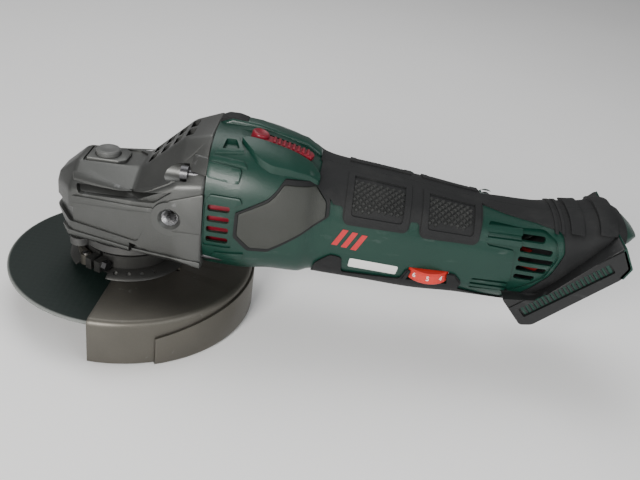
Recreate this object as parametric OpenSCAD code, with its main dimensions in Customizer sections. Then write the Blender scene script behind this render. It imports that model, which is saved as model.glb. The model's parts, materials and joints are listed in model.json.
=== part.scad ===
// Cordless angle grinder for 125 mm discs, bare tool with a rear foot for a slide-on battery.
// +X runs along the handle to the battery foot, +Z up the spindle, and the disc's mid-plane is z = 0.

/* [Disc and spindle] */
// Diameter of the cutting disc
disc_d = 125; // [115:1:125]
// Thickness of the cutting disc
disc_t = 2; // [1:0.2:3]
// Diameter of the disc's mounting hole
disc_bore_d = 22.2; // [22:0.1:23]
// Nominal diameter of the spindle thread
spindle_d = 14; // [14:1:14]
// Diameter of the inner and outer flanges
flange_d = 39; // [36:1:40]

/* [Gear set] */
// Height of the motor axis above the disc
motor_z = 50; // [49:0.5:51]
// Teeth on the crown gear
crown_teeth = 37; // [35:1:39]
// Teeth on the motor's pinion
pinion_teeth = 11; // [10:1:12]
// Outer pitch radius of the crown gear
crown_pitch_r = 20; // [19.5:0.1:20.3]
// Length of the teeth along the pitch cone
tooth_face = 5; // [4:0.5:5.5]

/* [Guard] */
// Outer radius of the guard's skirt
guard_r = 66.5; // [66:0.5:68]
// Height of the guard's plate above the disc
guard_plate_z = 5; // [4.5:0.1:5.5]
// Lowest point of the guard's skirt below the disc
guard_drop = 19.5; // [18:0.5:22]
// Angle that the guard covers
guard_span = 180; // [170:5:190]
// Thickness of the guard's sheet steel
guard_t = 1.4; // [1.2:0.1:1.6]

/* [Housing] */
// Wall thickness of the plastic housing
wall = 2.6; // [2.2:0.1:3]
// Thickness of the soft overmoulded grip
grip_t = 1.3; // [1:0.1:1.6]
// Width of the battery foot
foot_w = 62; // [60:1:64]

/* [Controls] */
// Forward travel of the power switch
switch_travel = 5; // [4:0.5:5]
// Downward travel of the spindle lock button
lock_travel = 4.5; // [4:0.1:4.7]
// Diameter of the speed dial
dial_d = 24; // [23:0.5:24.5]

/* [Hidden] */
$fn = 64;
eps = 0.02;
ring_fn = 28;

shell_green = "#1f5d3c";
grip_black = "#26282a";
cast_grey = "#5b5f62";
steel_grey = "#9a9da0";
signal_red = "#b3202c";

// Housing stations along X: [x, half width, lowest z, highest z].
stations = [[44, 33.5, 14, 86], [60, 35, 14, 86], [80, 34.5, 16.5, 82.5], [94, 33, 16.5, 77.5],
    [105, 30, 15.5, 74.5], [125, 28, 16.4, 71.6], [150, 27, 15.6, 69], [175, 25.6, 16.4, 66],
    [196, 25.6, 16.6, 64.8], [206, 26, 17.6, 64.6], [215, 25.6, 24, 65.6], [226, 24.2, 33, 68.8],
    [240, 21, 47, 71.8], [251, 15, 57, 68.4], [256, 9, 60.5, 64.6]];
section_power = 0.72;

// Gear case stations along X: [x, half width, lowest z, shoulder z, top half width, top z].
case_stations = [[-35, 9, 27, 46, 6, 50], [-24, 24, 21, 50, 9, 60], [8, 31, 21, 52, 10, 60.5],
    [30, 33.5, 21, 64, 13, 81], [44, 34, 18, 66, 16, 86]];

// Bevel gears share one apex on the spindle axis at the motor's height.
pinion_cone = atan(pinion_teeth / crown_teeth);
crown_cone = 90 - pinion_cone;
cone_length = crown_pitch_r / sin(crown_cone);
pinion_pitch_r = cone_length * sin(pinion_cone);
gear_module = 2 * crown_pitch_r / crown_teeth;
tooth_share = 0.36;
tooth_up = 0.62 * gear_module;
tooth_down = 0.95 * gear_module;
crown_web_z = 41;
crown_back_z = 30;
lock_r = 11.5;
lock_holes = 12;
spanner_r = 14.75;

// Spindle stack, from the lower end to the upper one.
spindle_low_z = -9;
shoulder_z = 6;
bearing_z = 9;
bearing_h = 11;
bearing_r = 17.5;
sleeve_z = 47;
sleeve_h = 5.4;
cap_neck_r = 21;
cap_flange_z = 17;
case_floor_z = 21;
cavity_r = 22.5;
cavity_top_z = 46.6;
case_top_z = 60.5;

// Motor parts along X.
front_bearing_x = 34;
front_bearing_w = 7;
case_rear_x = 44;
fan_x = 47;
stator_x = 58;
stator_l = 30;
stator_r = 23.5;
rear_bearing_x = 94;
rear_bearing_w = 6;
shaft_r = 4;

guard_collar_r = 21.35;
collar_h = 10;
cover_gap = 0.1;
guard_start = -92;

switch_tilt = 13.5;
switch_at = [57, -9, 85.6];
switch_floor_t = 2.6;
dial_at = [156, -18, 29];
dial_h = 6;
handle_hole_at = [28, 47];
handle_hole_r = 4;
handle_hole_depth = 14;
case_screws_at = [[27, 69], [27, 26]];
housing_screws_at = [[106, 23], [142, 23.5], [142, 61], [184, 25], [184, 57]];
cap_screws_at = [21, 17];

// Signed power, which rounds a section's corners.
function spow(v, p) = sign(v) * pow(abs(v), p);
function body_ring(s, inset) = let (zc = (s[2] + s[3]) / 2, hh = (s[3] - s[2]) / 2 - inset, hw = s[1] - inset,
    x = s[0] + (s[0] == stations[0][0] ? inset : 0) - (s[0] == stations[len(stations) - 1][0] ? inset : 0))
    [for (i = [0 : ring_fn - 1]) let (a = 360 * (i + 0.5) / ring_fn)
        [x, hw * spow(cos(a), section_power), zc + hh * spow(sin(a), section_power)]];
function case_ring(s) = [[s[0], s[1], s[3]], [s[0], s[4], s[5]], [s[0], -s[4], s[5]], [s[0], -s[1], s[3]],
    [s[0], -s[1], s[2] + 5], [s[0], -s[1] + 5, s[2]], [s[0], s[1] - 5, s[2]], [s[0], s[1], s[2] + 5]];

// Solid through a list of rings that all have the same number of points. Each ring turns from +Y towards +Z
// as the solid runs along +X, or the same way about whatever direction it runs in.
module loft(rings) {
    n = len(rings[0]);
    m = len(rings);
    points = [for (r = rings, p = r) p];
    sides = [for (k = [0 : m - 2], i = [0 : n - 1]) each [
        [k * n + i, (k + 1) * n + i, k * n + (i + 1) % n],
        [k * n + (i + 1) % n, (k + 1) * n + i, (k + 1) * n + (i + 1) % n]]];
    caps = [[for (i = [0 : n - 1]) i], [for (i = [n - 1 : -1 : 0]) (m - 1) * n + i]];
    polyhedron(points = points, faces = concat(sides, caps), convexity = 6);
}

// Round bar of radius r that follows a list of points, such as a spring's helix.
module bar(path, r, sides = 8) {
    n = len(path);
    ring = [for (k = [0 : n - 1]) let (
        t = path[min(k + 1, n - 1)] - path[max(k - 1, 0)],
        d = t / norm(t),
        u0 = cross(d, abs(d[2]) > 0.9 ? [1, 0, 0] : [0, 0, 1]),
        u = u0 / norm(u0),
        v = cross(d, u))
        [for (i = [0 : sides - 1]) path[k] + r * (cos(360 * i / sides) * u + sin(360 * i / sides) * v)]];
    loft(ring);
}

module along_x(x, y, z) {
    translate([x, y, z]) rotate([0, 90, 0]) children();
}

module along_y(x, y, z) {
    translate([x, y, z]) rotate([-90, 0, 0]) children();
}

module tube(r_out, r_in, h) {
    difference() {
        cylinder(r = r_out, h = h);
        translate([0, 0, -1]) cylinder(r = r_in, h = h + 2);
    }
}

// Flat shape in the side view, pushed through from y0 to y1.
module side_plate(points, y0, y1) {
    translate([0, y1, 0]) rotate([90, 0, 0]) linear_extrude(y1 - y0) polygon(points);
}

// ---- Housing ----

module body_form(inset) {
    loft([for (s = stations) body_ring(s, inset)]);
}

// Inside of the housing, open to the gear case in front and closed at the tail.
module body_inside() {
    loft([for (s = stations) if (s[0] <= 240) body_ring([s[0] == case_rear_x ? s[0] - 1 : s[0], s[1], s[2], s[3]],
        wall)]);
}

module ridge_form() {
    side_plate([[44, 80], [44, 87.5], [50, 89.5], [64, 88], [88, 82], [96, 77], [96, 70]], 0.6, 9);
}

module bulge_form() {
    translate([0, -14.5, 80]) rotate([24, 0, 0]) translate([0, 14.5, -80])
        side_plate([[54, 76], [56, 85.5], [64, 85.5], [94, 78.5], [97, 73], [90, 70]], -21, -15);
}

module switch_groove() {
    translate(switch_at) rotate([0, switch_tilt, 0]) translate([-9, -5.4, 0]) cube([50, 10.8, 20]);
}

module switch_slot() {
    translate(switch_at) rotate([0, switch_tilt, 0]) translate([2, -2.4, -8]) cube([24, 4.8, 10]);
}

module screw_pillars() {
    intersection() {
        body_form(0.5);
        for (p = housing_screws_at) along_y(p[0], -40, p[1]) cylinder(r = 3.8, h = 80);
    }
}

module screw_holes() {
    for (p = housing_screws_at) {
        along_y(p[0], -9, p[1]) cylinder(r = 1.7, h = 60);
        along_y(p[0], 19, p[1]) cylinder(r = 3.5, h = 30);
    }
}

module front_vents() {
    for (k = [0 : 3]) translate([46.5, -45, 37.5 + 5.2 * k]) cube([10.5, 90, 2.9]);
}

module rear_vents() {
    for (k = [0 : 4]) translate([198.5 - 0.6 * k, -45, 37 + 4.7 * k]) cube([11 + 0.9 * k, 90, 2.6]);
}

module dial_pocket() {
    translate([dial_at[0], dial_at[1], dial_at[2] - 0.4]) cylinder(d = dial_d + 1, h = dial_h + 0.8);
}

module foot_outline() {
    polygon([[194, 28], [206, 14.5], [212, 15.5], [247, 48.5], [250, 55], [243.5, 66], [211, 30]]);
}

module foot_block(w) {
    translate([0, w / 2, 0]) rotate([90, 0, 0]) linear_extrude(w) foot_outline();
}

module full_housing() {
    difference() {
        union() {
            difference() {
                union() {
                    body_form(0);
                    ridge_form();
                    bulge_form();
                }
                body_inside();
            }
            screw_pillars();
            // Floor of the switch's groove.
            intersection() {
                body_form(0.5);
                translate(switch_at) rotate([0, switch_tilt, 0]) translate([-8, -7.6, -switch_floor_t])
                    cube([50, 15.2, switch_floor_t]);
            }
            // Webs that hold the motor's stator.
            for (x = [60, 82]) difference() {
                intersection() {
                    body_form(0.5);
                    translate([x, -50, 0]) cube([3, 100, 100]);
                }
                along_x(x - 1, 0, motor_z) cylinder(r = stator_r + 0.1, h = 5);
                translate([x - 1, -14, 72]) cube([5, 10, 11]);
            }
        }
        switch_groove();
        switch_slot();
        screw_holes();
        front_vents();
        rear_vents();
        dial_pocket();
        foot_block(foot_w + 1);
        for (p = case_screws_at, y = [-1, 1]) along_x(40, y * p[0], p[1]) cylinder(r = 2.1, h = 16);
    }
}

module left_housing() {
    color(shell_green) intersection() {
        full_housing();
        translate([0, -60, -20]) cube([300, 60, 140]);
    }
}

module right_housing() {
    color(shell_green) intersection() {
        full_housing();
        translate([0, 0, -20]) cube([300, 60, 140]);
    }
}

// Skin of the given side that lies over the top and under the belly of the handle.
module grip_skin(y0, y1) {
    difference() {
        body_form(-grip_t);
        body_form(0);
        translate([0, y0 == 0 ? -60 : 0, -20]) cube([300, 60, 140]);
        dial_pocket();
        foot_block(foot_w + 1);
        translate([0, -50, -50]) cube([97, 100, 200]);
        translate([214, -50, -50]) cube([100, 100, 200]);
        side_plate([[103, 52], [110, 55.5], [178, 53.5], [186, 62], [215, 62], [215, 21], [188, 21],
            [176, 26], [142, 30], [112, 32], [103, 38]], -60, 60);
        screw_holes();
    }
}

module left_grip() {
    color(grip_black) grip_skin(-60, 0);
}

module right_grip() {
    color(grip_black) grip_skin(0, 60);
}

// Raised soft pad on the side that y_end lies on.
module side_pad(y_end) {
    difference() {
        intersection() {
            body_form(-grip_t);
            side_plate([[62, 45], [62, 54], [67.5, 58], [76, 61], [81, 68.5], [93, 68.5], [96, 60], [77, 40],
                [68.5, 39]], min(0, y_end), max(0, y_end));
        }
        body_form(0);
    }
}

module left_side_pad() {
    color(grip_black) side_pad(-60);
}

module right_side_pad() {
    color(grip_black) side_pad(60);
}

// Height of the battery channel's roof.
function channel_z(x) = 24 + (x - 203) * 0.9;

module battery_foot() {
    color(grip_black) difference() {
        foot_block(foot_w);
        // Channel for the battery's rails, open below and at the upper end.
        side_plate([[203, channel_z(203)], [214, 10], [262, 55], [250, channel_z(250)]], -23, 23);
        side_plate([[206, 16.5], [212, 8], [262, 55], [256, 62]], -26.5, 26.5);
    }
}

module battery_terminals() {
    color("#c8a24a") for (y = [-15, -5, 5, 15])
        side_plate([[213, channel_z(213)], [220, 25.4], [225.4, 30.4], [219, channel_z(219)]], y - 0.6, y + 0.6);
}

module housing_screws() {
    color(steel_grey) for (p = housing_screws_at) {
        along_y(p[0], -8, p[1]) cylinder(r = 1.6, h = 28);
        along_y(p[0], 19, p[1]) difference() {
            cylinder(r = 3.2, h = 2.6);
            translate([0, 0, 1.2]) cylinder(r = 1.5, h = 3, $fn = 6);
        }
    }
}

// ---- Gear head ----

module gear_case() {
    color(cast_grey) difference() {
        loft([for (s = case_stations) case_ring(s)]);
        translate([0, 0, case_floor_z - 5]) cylinder(r = cavity_r, h = cavity_top_z - case_floor_z + 5);
        // Pocket for the pinion and bore for the motor shaft.
        along_x(12, 0, motor_z) cylinder(r = 8.5, h = 12);
        along_x(20, 0, motor_z) cylinder(r = 6.5, h = 20);
        along_x(front_bearing_x, 0, motor_z) cylinder(r = 11, h = 20);
        along_x(41.5, 0, motor_z) cylinder(r = 26, h = 10);
        translate([0, 0, 40]) cylinder(r = 7.5, h = sleeve_z + sleeve_h - 40);
        // Seat and bore of the spindle lock.
        translate([-lock_r, 0, 52]) cylinder(r = 6.5, h = 20);
        translate([-lock_r, 0, 40]) cylinder(r = 2.1, h = 20);
        // Threaded holes for the side handle, left and right.
        for (s = [-1, 1]) along_y(handle_hole_at[0], s > 0 ? 34 - handle_hole_depth : -44, handle_hole_at[1])
            cylinder(r = handle_hole_r, h = handle_hole_depth + 10);
        for (p = case_screws_at, y = [-1, 1]) {
            along_x(30, y * p[0], p[1]) cylinder(r = 2.1, h = 20);
            along_x(10, y * p[0], p[1]) cylinder(r = 4.2, h = 25);
        }
        for (x = [-1, 1], y = [-1, 1]) translate([x * cap_screws_at[0], y * cap_screws_at[1], 10])
            cylinder(r = 1.7, h = 22);
    }
}

module gear_case_screws() {
    color(steel_grey) for (p = case_screws_at, y = [-1, 1]) {
        along_x(35, y * p[0], p[1]) cylinder(r = 2, h = 19);
        along_x(31.5, y * p[0], p[1]) difference() {
            cylinder(r = 3.8, h = 3.5);
            translate([0, 0, -1]) cylinder(r = 1.8, h = 2.8, $fn = 6);
        }
    }
}

module bearing_cap() {
    color(cast_grey) difference() {
        union() {
            translate([0, 0, cap_flange_z]) cylinder(r = 25, h = case_floor_z - cap_flange_z);
            for (x = [-1, 1], y = [-1, 1]) translate([x * cap_screws_at[0], y * cap_screws_at[1], cap_flange_z])
                cylinder(r = 5.2, h = case_floor_z - cap_flange_z);
            translate([0, 0, 6.8]) cylinder(r = cap_neck_r, h = cap_flange_z - 6.8 + eps);
            translate([0, 0, case_floor_z - eps]) cylinder(r = cavity_r - 0.1, h = 2);
        }
        translate([0, 0, bearing_z]) cylinder(r = bearing_r, h = 30);
        translate([0, 0, 0]) cylinder(r = 12, h = 20);
        for (x = [-1, 1], y = [-1, 1]) translate([x * cap_screws_at[0], y * cap_screws_at[1], 0]) {
            cylinder(r = 2.1, h = 40);
            cylinder(r = 3.8, h = cap_flange_z + 1.8);
        }
    }
}

module cap_screws() {
    color(steel_grey) for (x = [-1, 1], y = [-1, 1])
        translate([x * cap_screws_at[0], y * cap_screws_at[1], cap_flange_z + 1.8 - 2.4]) {
            difference() {
                cylinder(r = 3.5, h = 2.4);
                translate([0, 0, -1]) cylinder(r = 1.6, h = 2.2, $fn = 6);
            }
            translate([0, 0, 2.4 - eps]) cylinder(r = 1.6, h = 12);
        }
}

// Ring of balls in a plane square to Z.
module ball_ring(ring_r, ball_r, count) {
    for (k = [0 : count - 1]) rotate([0, 0, 360 * k / count]) translate([ring_r, 0, 0]) sphere(r = ball_r, $fn = 32);
}

module spindle_bearing_race() {
    color(steel_grey) translate([0, 0, bearing_z]) tube(bearing_r, 15.7, bearing_h);
}

module spindle_bearing_balls() {
    color(steel_grey) translate([0, 0, bearing_z + bearing_h / 2]) ball_ring(12.5, 3, 9);
}

module spindle_sleeve() {
    color(steel_grey) translate([0, 0, sleeve_z]) tube(7.5, 4.55, sleeve_h - 0.5);
}

module rotor_bearing_races() {
    color(steel_grey) {
        along_x(front_bearing_x, 0, motor_z) tube(11, 9.6, front_bearing_w);
        along_x(rear_bearing_x, 0, motor_z) tube(8, 6.8, rear_bearing_w);
    }
}

module rotor_bearing_balls() {
    color(steel_grey) {
        along_x(front_bearing_x + front_bearing_w / 2, 0, motor_z) ball_ring(7.5, 1.95, 8);
        along_x(rear_bearing_x + rear_bearing_w / 2, 0, motor_z) ball_ring(5.4, 1.25, 8);
    }
}

// ---- Motor ----

module motor_stator() {
    color(steel_grey) along_x(stator_x, 0, motor_z) difference() {
        tube(stator_r, 12.2, stator_l);
        for (k = [0 : 5]) rotate([0, 0, 60 * k]) translate([0, 17, -1])
            rotate([0, 0, 30]) cylinder(r = 5, h = stator_l + 2);
    }
}

module stator_coils() {
    color("#b56a36") along_x(stator_x - 3, 0, motor_z)
        for (k = [0 : 5]) rotate([0, 0, 60 * k]) translate([0, 17, 0]) cylinder(r = 4.8, h = stator_l + 5.4);
}

module motor_end_plate() {
    color(grip_black) difference() {
        union() {
            along_x(rear_bearing_x - 1, 0, motor_z) cylinder(r = 11, h = rear_bearing_w + 3);
            along_x(rear_bearing_x, 0, motor_z) cylinder(r = 23.2, h = 3);
        }
        along_x(rear_bearing_x - 2, 0, motor_z) cylinder(r = 8, h = rear_bearing_w + 2);
        for (k = [0 : 5]) along_x(80, 0, motor_z) rotate([0, 0, 60 * k + 30]) translate([18, 0, 0])
            cylinder(r = 4, h = 30);
        translate([80, -16, 62]) cube([30, 14, 20]);
    }
}

module air_baffle() {
    color(signal_red) along_x(45, 0, motor_z) tube(30.5, 28.5, 12);
}

module rotor_shaft() {
    color(steel_grey) {
        along_x(20.5, 0, motor_z) cylinder(r = shaft_r, h = rear_bearing_x - 21.5);
        along_x(rear_bearing_x - 1 - eps, 0, motor_z) cylinder(r = 3, h = rear_bearing_w + 1);
    }
}

module rotor_inner_races() {
    color(steel_grey) {
        along_x(front_bearing_x, 0, motor_z) tube(5.4, shaft_r, front_bearing_w);
        along_x(rear_bearing_x, 0, motor_z) tube(4, 3, rear_bearing_w);
    }
}

module rotor_core() {
    color(steel_grey) along_x(stator_x, 0, motor_z) tube(9.5, shaft_r, stator_l);
}

module rotor_magnets() {
    color("#4a4c50") along_x(stator_x + 1, 0, motor_z) difference() {
        tube(11.6, 9.5, stator_l - 2);
        for (k = [0 : 3]) rotate([0, 0, 90 * k]) translate([0, -0.4, -1]) cube([14, 0.8, stator_l]);
    }
}

module cooling_fan() {
    color(grip_black) along_x(fan_x, 0, motor_z) {
        tube(27, 8, 1.2);
        tube(8 + eps, shaft_r, 7);
        for (k = [0 : 12]) rotate([0, 0, 360 * k / 13]) translate([9, 0, 1.1]) rotate([0, 0, 18]) cube([16.5, 1.1, 6]);
    }
}

// ---- Bevel gears: each tooth is a wedge towards the shared apex ----

// One tooth of a gear whose apex is the origin and whose cone opens towards -Z.
module bevel_tooth(cone, teeth) {
    half = 180 / teeth * tooth_share;
    tip = half * 0.52;
    root = half * 1.35;
    up = atan(tooth_up / cone_length);
    down = atan(tooth_down / cone_length);
    // Corners as [angle from the axis, turn about it].
    corners = [[cone - down, root], [cone, half], [cone + up, tip], [cone + up, -tip], [cone, -half],
        [cone - down, -root]];
    loft([for (d = [cone_length - tooth_face, cone_length]) [for (c = corners)
        d * [sin(c[0]) * cos(c[1]), sin(c[0]) * sin(c[1]), -cos(c[0])]]]);
}

module tooth_set(cone, teeth, phase) {
    for (k = [0 : teeth - 1]) rotate([0, 0, 360 * (k + phase) / teeth]) bevel_tooth(cone, teeth);
}

module pinion_gear() {
    root = pinion_cone - atan(tooth_down * 0.9 / cone_length);
    near_z = (cone_length - tooth_face) * cos(root);
    far_z = cone_length * cos(root);
    color(steel_grey) translate([0, 0, motor_z]) rotate([0, -90, 0]) difference() {
        union() {
            tooth_set(pinion_cone, pinion_teeth, pinion_teeth % 2 == 1 ? 0 : 0.5);
            translate([0, 0, -far_z]) cylinder(r1 = far_z * tan(root), r2 = near_z * tan(root), h = far_z - near_z);
        }
        translate([0, 0, -far_z - 1]) cylinder(r = 2.2, h = 3.5);
    }
}

module crown_gear() {
    root = crown_cone - atan(tooth_down * 0.9 / cone_length);
    inner = cone_length - tooth_face;
    color(steel_grey) difference() {
        union() {
            translate([0, 0, motor_z]) tooth_set(crown_cone, crown_teeth, 0);
            rotate_extrude() polygon([[7, crown_back_z], [9.5, crown_back_z], [9.5, 33], [19, 35.5],
                [cone_length * sin(root), motor_z - cone_length * cos(root)],
                [inner * sin(root), motor_z - inner * cos(root)],
                [inner * sin(root) - 0.8, crown_web_z], [7, crown_web_z]]);
        }
        for (k = [0 : lock_holes - 1]) rotate([0, 0, 360 * k / lock_holes]) translate([lock_r, 0, 20])
            cylinder(r = 2.1, h = 40);
    }
}

// ---- Spindle and what turns with it ----

module spindle() {
    color(steel_grey) rotate_extrude() polygon([[0, spindle_low_z], [spindle_d / 2 - 1, spindle_low_z],
        [spindle_d / 2, spindle_low_z + 1], [spindle_d / 2, shoulder_z], [9.5, shoulder_z], [9.5, bearing_z],
        [7.5, bearing_z], [7.5, bearing_z + bearing_h], [8.8, bearing_z + bearing_h], [8.8, crown_back_z],
        [7, crown_back_z], [7, crown_web_z + 1.6], [4.5, crown_web_z + 1.6], [4.5, sleeve_z + sleeve_h - 1],
        [0, sleeve_z + sleeve_h - 1]]);
}

module spindle_inner_race() {
    color(steel_grey) translate([0, 0, bearing_z]) tube(9.3, 7.5, bearing_h);
}

module gear_clip() {
    color("#3a3c3f") translate([0, 0, crown_web_z]) difference() {
        tube(8.6, 7, 1);
        translate([-20, -1.5, -1]) cube([14, 3, 3]);
    }
}

module inner_flange() {
    color(steel_grey) rotate_extrude() polygon([[spindle_d / 2, shoulder_z], [9, shoulder_z], [flange_d / 2, 4.2],
        [flange_d / 2, disc_t / 2], [disc_bore_d / 2 - 0.1, disc_t / 2], [disc_bore_d / 2 - 0.1, -disc_t / 2 + 0.3],
        [spindle_d / 2, -disc_t / 2 + 0.3]]);
}

module cutting_disc() {
    color("#22332d") translate([0, 0, -disc_t / 2]) tube(disc_d / 2, disc_bore_d / 2, disc_t);
}

module flange_nut() {
    color("#2f3133") difference() {
        rotate_extrude() polygon([[spindle_d / 2, -disc_t / 2], [flange_d / 2, -disc_t / 2], [flange_d / 2, -4],
            [flange_d / 2 - 2, -5.6], [12, -5.6], [11, -8], [spindle_d / 2, -8]]);
        for (s = [-1, 1]) translate([spanner_r * s, 0, -20]) cylinder(r = 2.5, h = 16.5);
    }
}

// ---- Spindle lock ----

module lock_button() {
    color(grip_black) translate([-lock_r, 0, 0]) difference() {
        union() {
            translate([0, 0, 57]) cylinder(r = 6.1, h = 5.4);
            translate([0, 0, 62.4 - eps]) cylinder(r1 = 6.1, r2 = 5, h = 1.1);
        }
        translate([0, 0, 56]) cylinder(r = 4.9, h = 5);
    }
}

module lock_pin() {
    color(steel_grey) translate([-lock_r, 0, 43]) cylinder(r = 1.6, h = 18);
}

module lock_spring() {
    turns = 4;
    steps = 14;
    color(steel_grey) bar([for (i = [0 : turns * steps]) [-lock_r + 3.3 * cos(360 * i / steps),
        3.3 * sin(360 * i / steps), 52.4 + 8.2 * i / (turns * steps)]], 0.35);
}

// ---- Power switch ----

module in_switch_frame() {
    translate(switch_at) rotate([0, switch_tilt, 0]) children();
}

module switch_slider() {
    color(signal_red) in_switch_frame() {
        translate([8, 0, 0.3]) cylinder(r = 4.9, h = 4.6);
        translate([8, -3.8, 0.3]) cube([28, 7.6, 2.6]);
        for (k = [0 : 7]) translate([14 + 2.6 * k, -3.4, 2.8]) cube([1.3, 6.8, 1]);
    }
}

// The stem below the slider passes the slot; a bar runs back over the motor and steps down to the micro switch.
module switch_link() {
    color(grip_black) in_switch_frame() {
        translate([10.5, -2, -5]) cube([8, 4, 5.3]);
        translate([10.5, -1.8, -4.9]) cube([34, 3.6, 1.8]);
        translate([42, -1.8, -9]) cube([2.5, 3.6, 5]);
        translate([42, -1.8, -9]) cube([6, 3.6, 2.2]);
    }
}

module switch_spring() {
    turns = 6;
    steps = 12;
    color(steel_grey) in_switch_frame() bar([for (i = [0 : turns * steps])
        [48.4 + 9 * i / (turns * steps), 1.3 * cos(360 * i / steps), -7.9 + 1.3 * sin(360 * i / steps)]], 0.25);
}

module micro_switch() {
    color(grip_black) translate([114, -16, 53]) cube([16, 13, 11.5]);
}

// ---- Speed dial and electronics ----

module speed_dial() {
    color(signal_red) translate(dial_at) difference() {
        cylinder(d = dial_d, h = dial_h);
        translate([0, 0, -1]) cylinder(r = 2.6, h = dial_h + 2);
        for (k = [0 : 29]) rotate([0, 0, 12 * k]) translate([dial_d / 2 + 0.2, 0, -1]) cylinder(r = 0.6, h = 2.4, $fn = 16);
    }
}

module dial_potentiometer() {
    color("#2f4f86") {
        translate([dial_at[0] - 6, dial_at[1] - 5, dial_at[2] + dial_h + 0.5]) cube([12, 10, 4]);
        translate([dial_at[0], dial_at[1], dial_at[2] - 0.2]) cylinder(r = 2.5, h = dial_h + 1);
    }
}

module controller_board() {
    color("#2c6e49") translate([128, -6, 41]) cube([48, 26, 1.8]);
}

module heat_sink() {
    color(steel_grey) {
        translate([132, -5, 42.8]) cube([38, 24, 2]);
        for (k = [0 : 6]) translate([132, -5 + 3.8 * k, 44.8 - eps]) cube([38, 1.2, 7]);
    }
}

module power_leads() {
    color(signal_red) bar([[214, -9, 35], [205, -9, 37], [195, -4, 39.5], [186, 0, 41], [176.2, 2, 42]], 1.3);
    color("black") bar([[214, 9, 35], [205, 9, 37], [195, 8, 39.5], [186, 8, 41], [176.2, 8, 42]], 1.3);
}

module motor_leads() {
    color(grip_black) for (k = [0 : 2])
        bar([[92 + 12.3, 13 + 3 * k, 40], [112, 9 + 3 * k, 41], [120, 5 + 4 * k, 42], [127.8, 4 + 4 * k, 42]], 1);
}

// ---- Guard ----

module guard_shell() {
    color(cast_grey) rotate([0, 0, guard_start]) rotate_extrude(angle = guard_span) polygon([
        [guard_collar_r + 2, guard_plate_z], [guard_r, guard_plate_z], [guard_r, -guard_drop],
        [guard_r - guard_t, -guard_drop], [guard_r - guard_t, guard_plate_z - guard_t],
        [guard_collar_r + 2, guard_plate_z - guard_t]]);
}

module guard_collar() {
    color(cast_grey) difference() {
        union() {
            translate([0, 0, guard_plate_z - guard_t]) tube(guard_collar_r + 2, guard_collar_r, collar_h + guard_t);
            rotate([0, 0, -112]) translate([guard_collar_r + 0.6, -4.4, 7.6]) cube([8.4, 8.8, 6]);
        }
        rotate([0, 0, -112]) translate([15, -0.9, 0]) cube([20, 1.8, 20]);
        rotate([0, 0, -112]) translate([guard_collar_r + 5.4, -20, 10.6]) rotate([-90, 0, 0]) cylinder(r = 1.6, h = 40);
    }
}

module clamp_screw() {
    color(steel_grey) rotate([0, 0, -112]) translate([guard_collar_r + 5.4, -4.4, 10.6]) rotate([-90, 0, 0]) {
        cylinder(r = 1.5, h = 10.4);
        translate([0, 0, 8.8]) cylinder(r = 2.8, h = 2.6, $fn = 6);
    }
}

module lever_pin() {
    color(steel_grey) rotate([0, 0, -112]) translate([guard_collar_r + 5.4, -7.2, 7.2])
        cylinder(r = 1.5, h = 6.8);
}

module clamp_lever() {
    color(steel_grey) rotate([0, 0, -112]) difference() {
        union() {
            translate([guard_collar_r + 5.4, -7.2, 7.8]) cylinder(r = 2.6, h = 5.6);
            rotate([0, 0, -18]) rotate_extrude_arc(guard_collar_r + 3.2, guard_collar_r + 5.6, 8.4, 12.8, -34);
        }
        translate([guard_collar_r + 5.4, -7.2, 0]) cylinder(r = 1.56, h = 20);
    }
}

// Part of a ring between two radii and two heights, swept from 0 to the angle.
module rotate_extrude_arc(r0, r1, z0, z1, angle) {
    rotate([0, 0, min(0, angle)]) rotate_extrude(angle = abs(angle)) translate([r0, z0]) square([r1 - r0, z1 - z0]);
}

module cutting_cover() {
    low = -guard_drop - 1.4;
    inside = guard_r + cover_gap;
    color(cast_grey) rotate([0, 0, -64]) rotate_extrude(angle = 128) polygon([
        [inside, low + 1.2], [34, low + 1.2], [34, low], [inside + 1.2, low], [inside + 1.2, 2], [inside, 2]]);
}

left_housing();
right_housing();
left_grip();
right_grip();
left_side_pad();
right_side_pad();
battery_foot();
battery_terminals();
gear_case();
bearing_cap();
cap_screws();
gear_case_screws();
housing_screws();
motor_stator();
stator_coils();
motor_end_plate();
air_baffle();
controller_board();
heat_sink();
micro_switch();
dial_potentiometer();
power_leads();
motor_leads();
spindle_bearing_race();
spindle_bearing_balls();
spindle_sleeve();
rotor_bearing_races();
rotor_bearing_balls();
spindle();
spindle_inner_race();
crown_gear();
gear_clip();
inner_flange();
cutting_disc();
flange_nut();
rotor_shaft();
rotor_core();
rotor_magnets();
rotor_inner_races();
cooling_fan();
pinion_gear();
lock_button();
lock_pin();
lock_spring();
switch_slider();
switch_link();
switch_spring();
speed_dial();
guard_shell();
guard_collar();
cutting_cover();
clamp_screw();
lever_pin();
clamp_lever();
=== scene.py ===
"""Visual model of a cordless angle grinder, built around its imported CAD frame.

Every size is in millimetres until a mesh is made; meshes are in metres, in the frame of the CAD model.
"""

import json
import logging
import math
from dataclasses import dataclass
from enum import Enum
from typing import Callable, Iterable, Optional, Sequence, Union

import bmesh
import bpy
import numpy as np
from mathutils import Matrix, Vector


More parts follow.
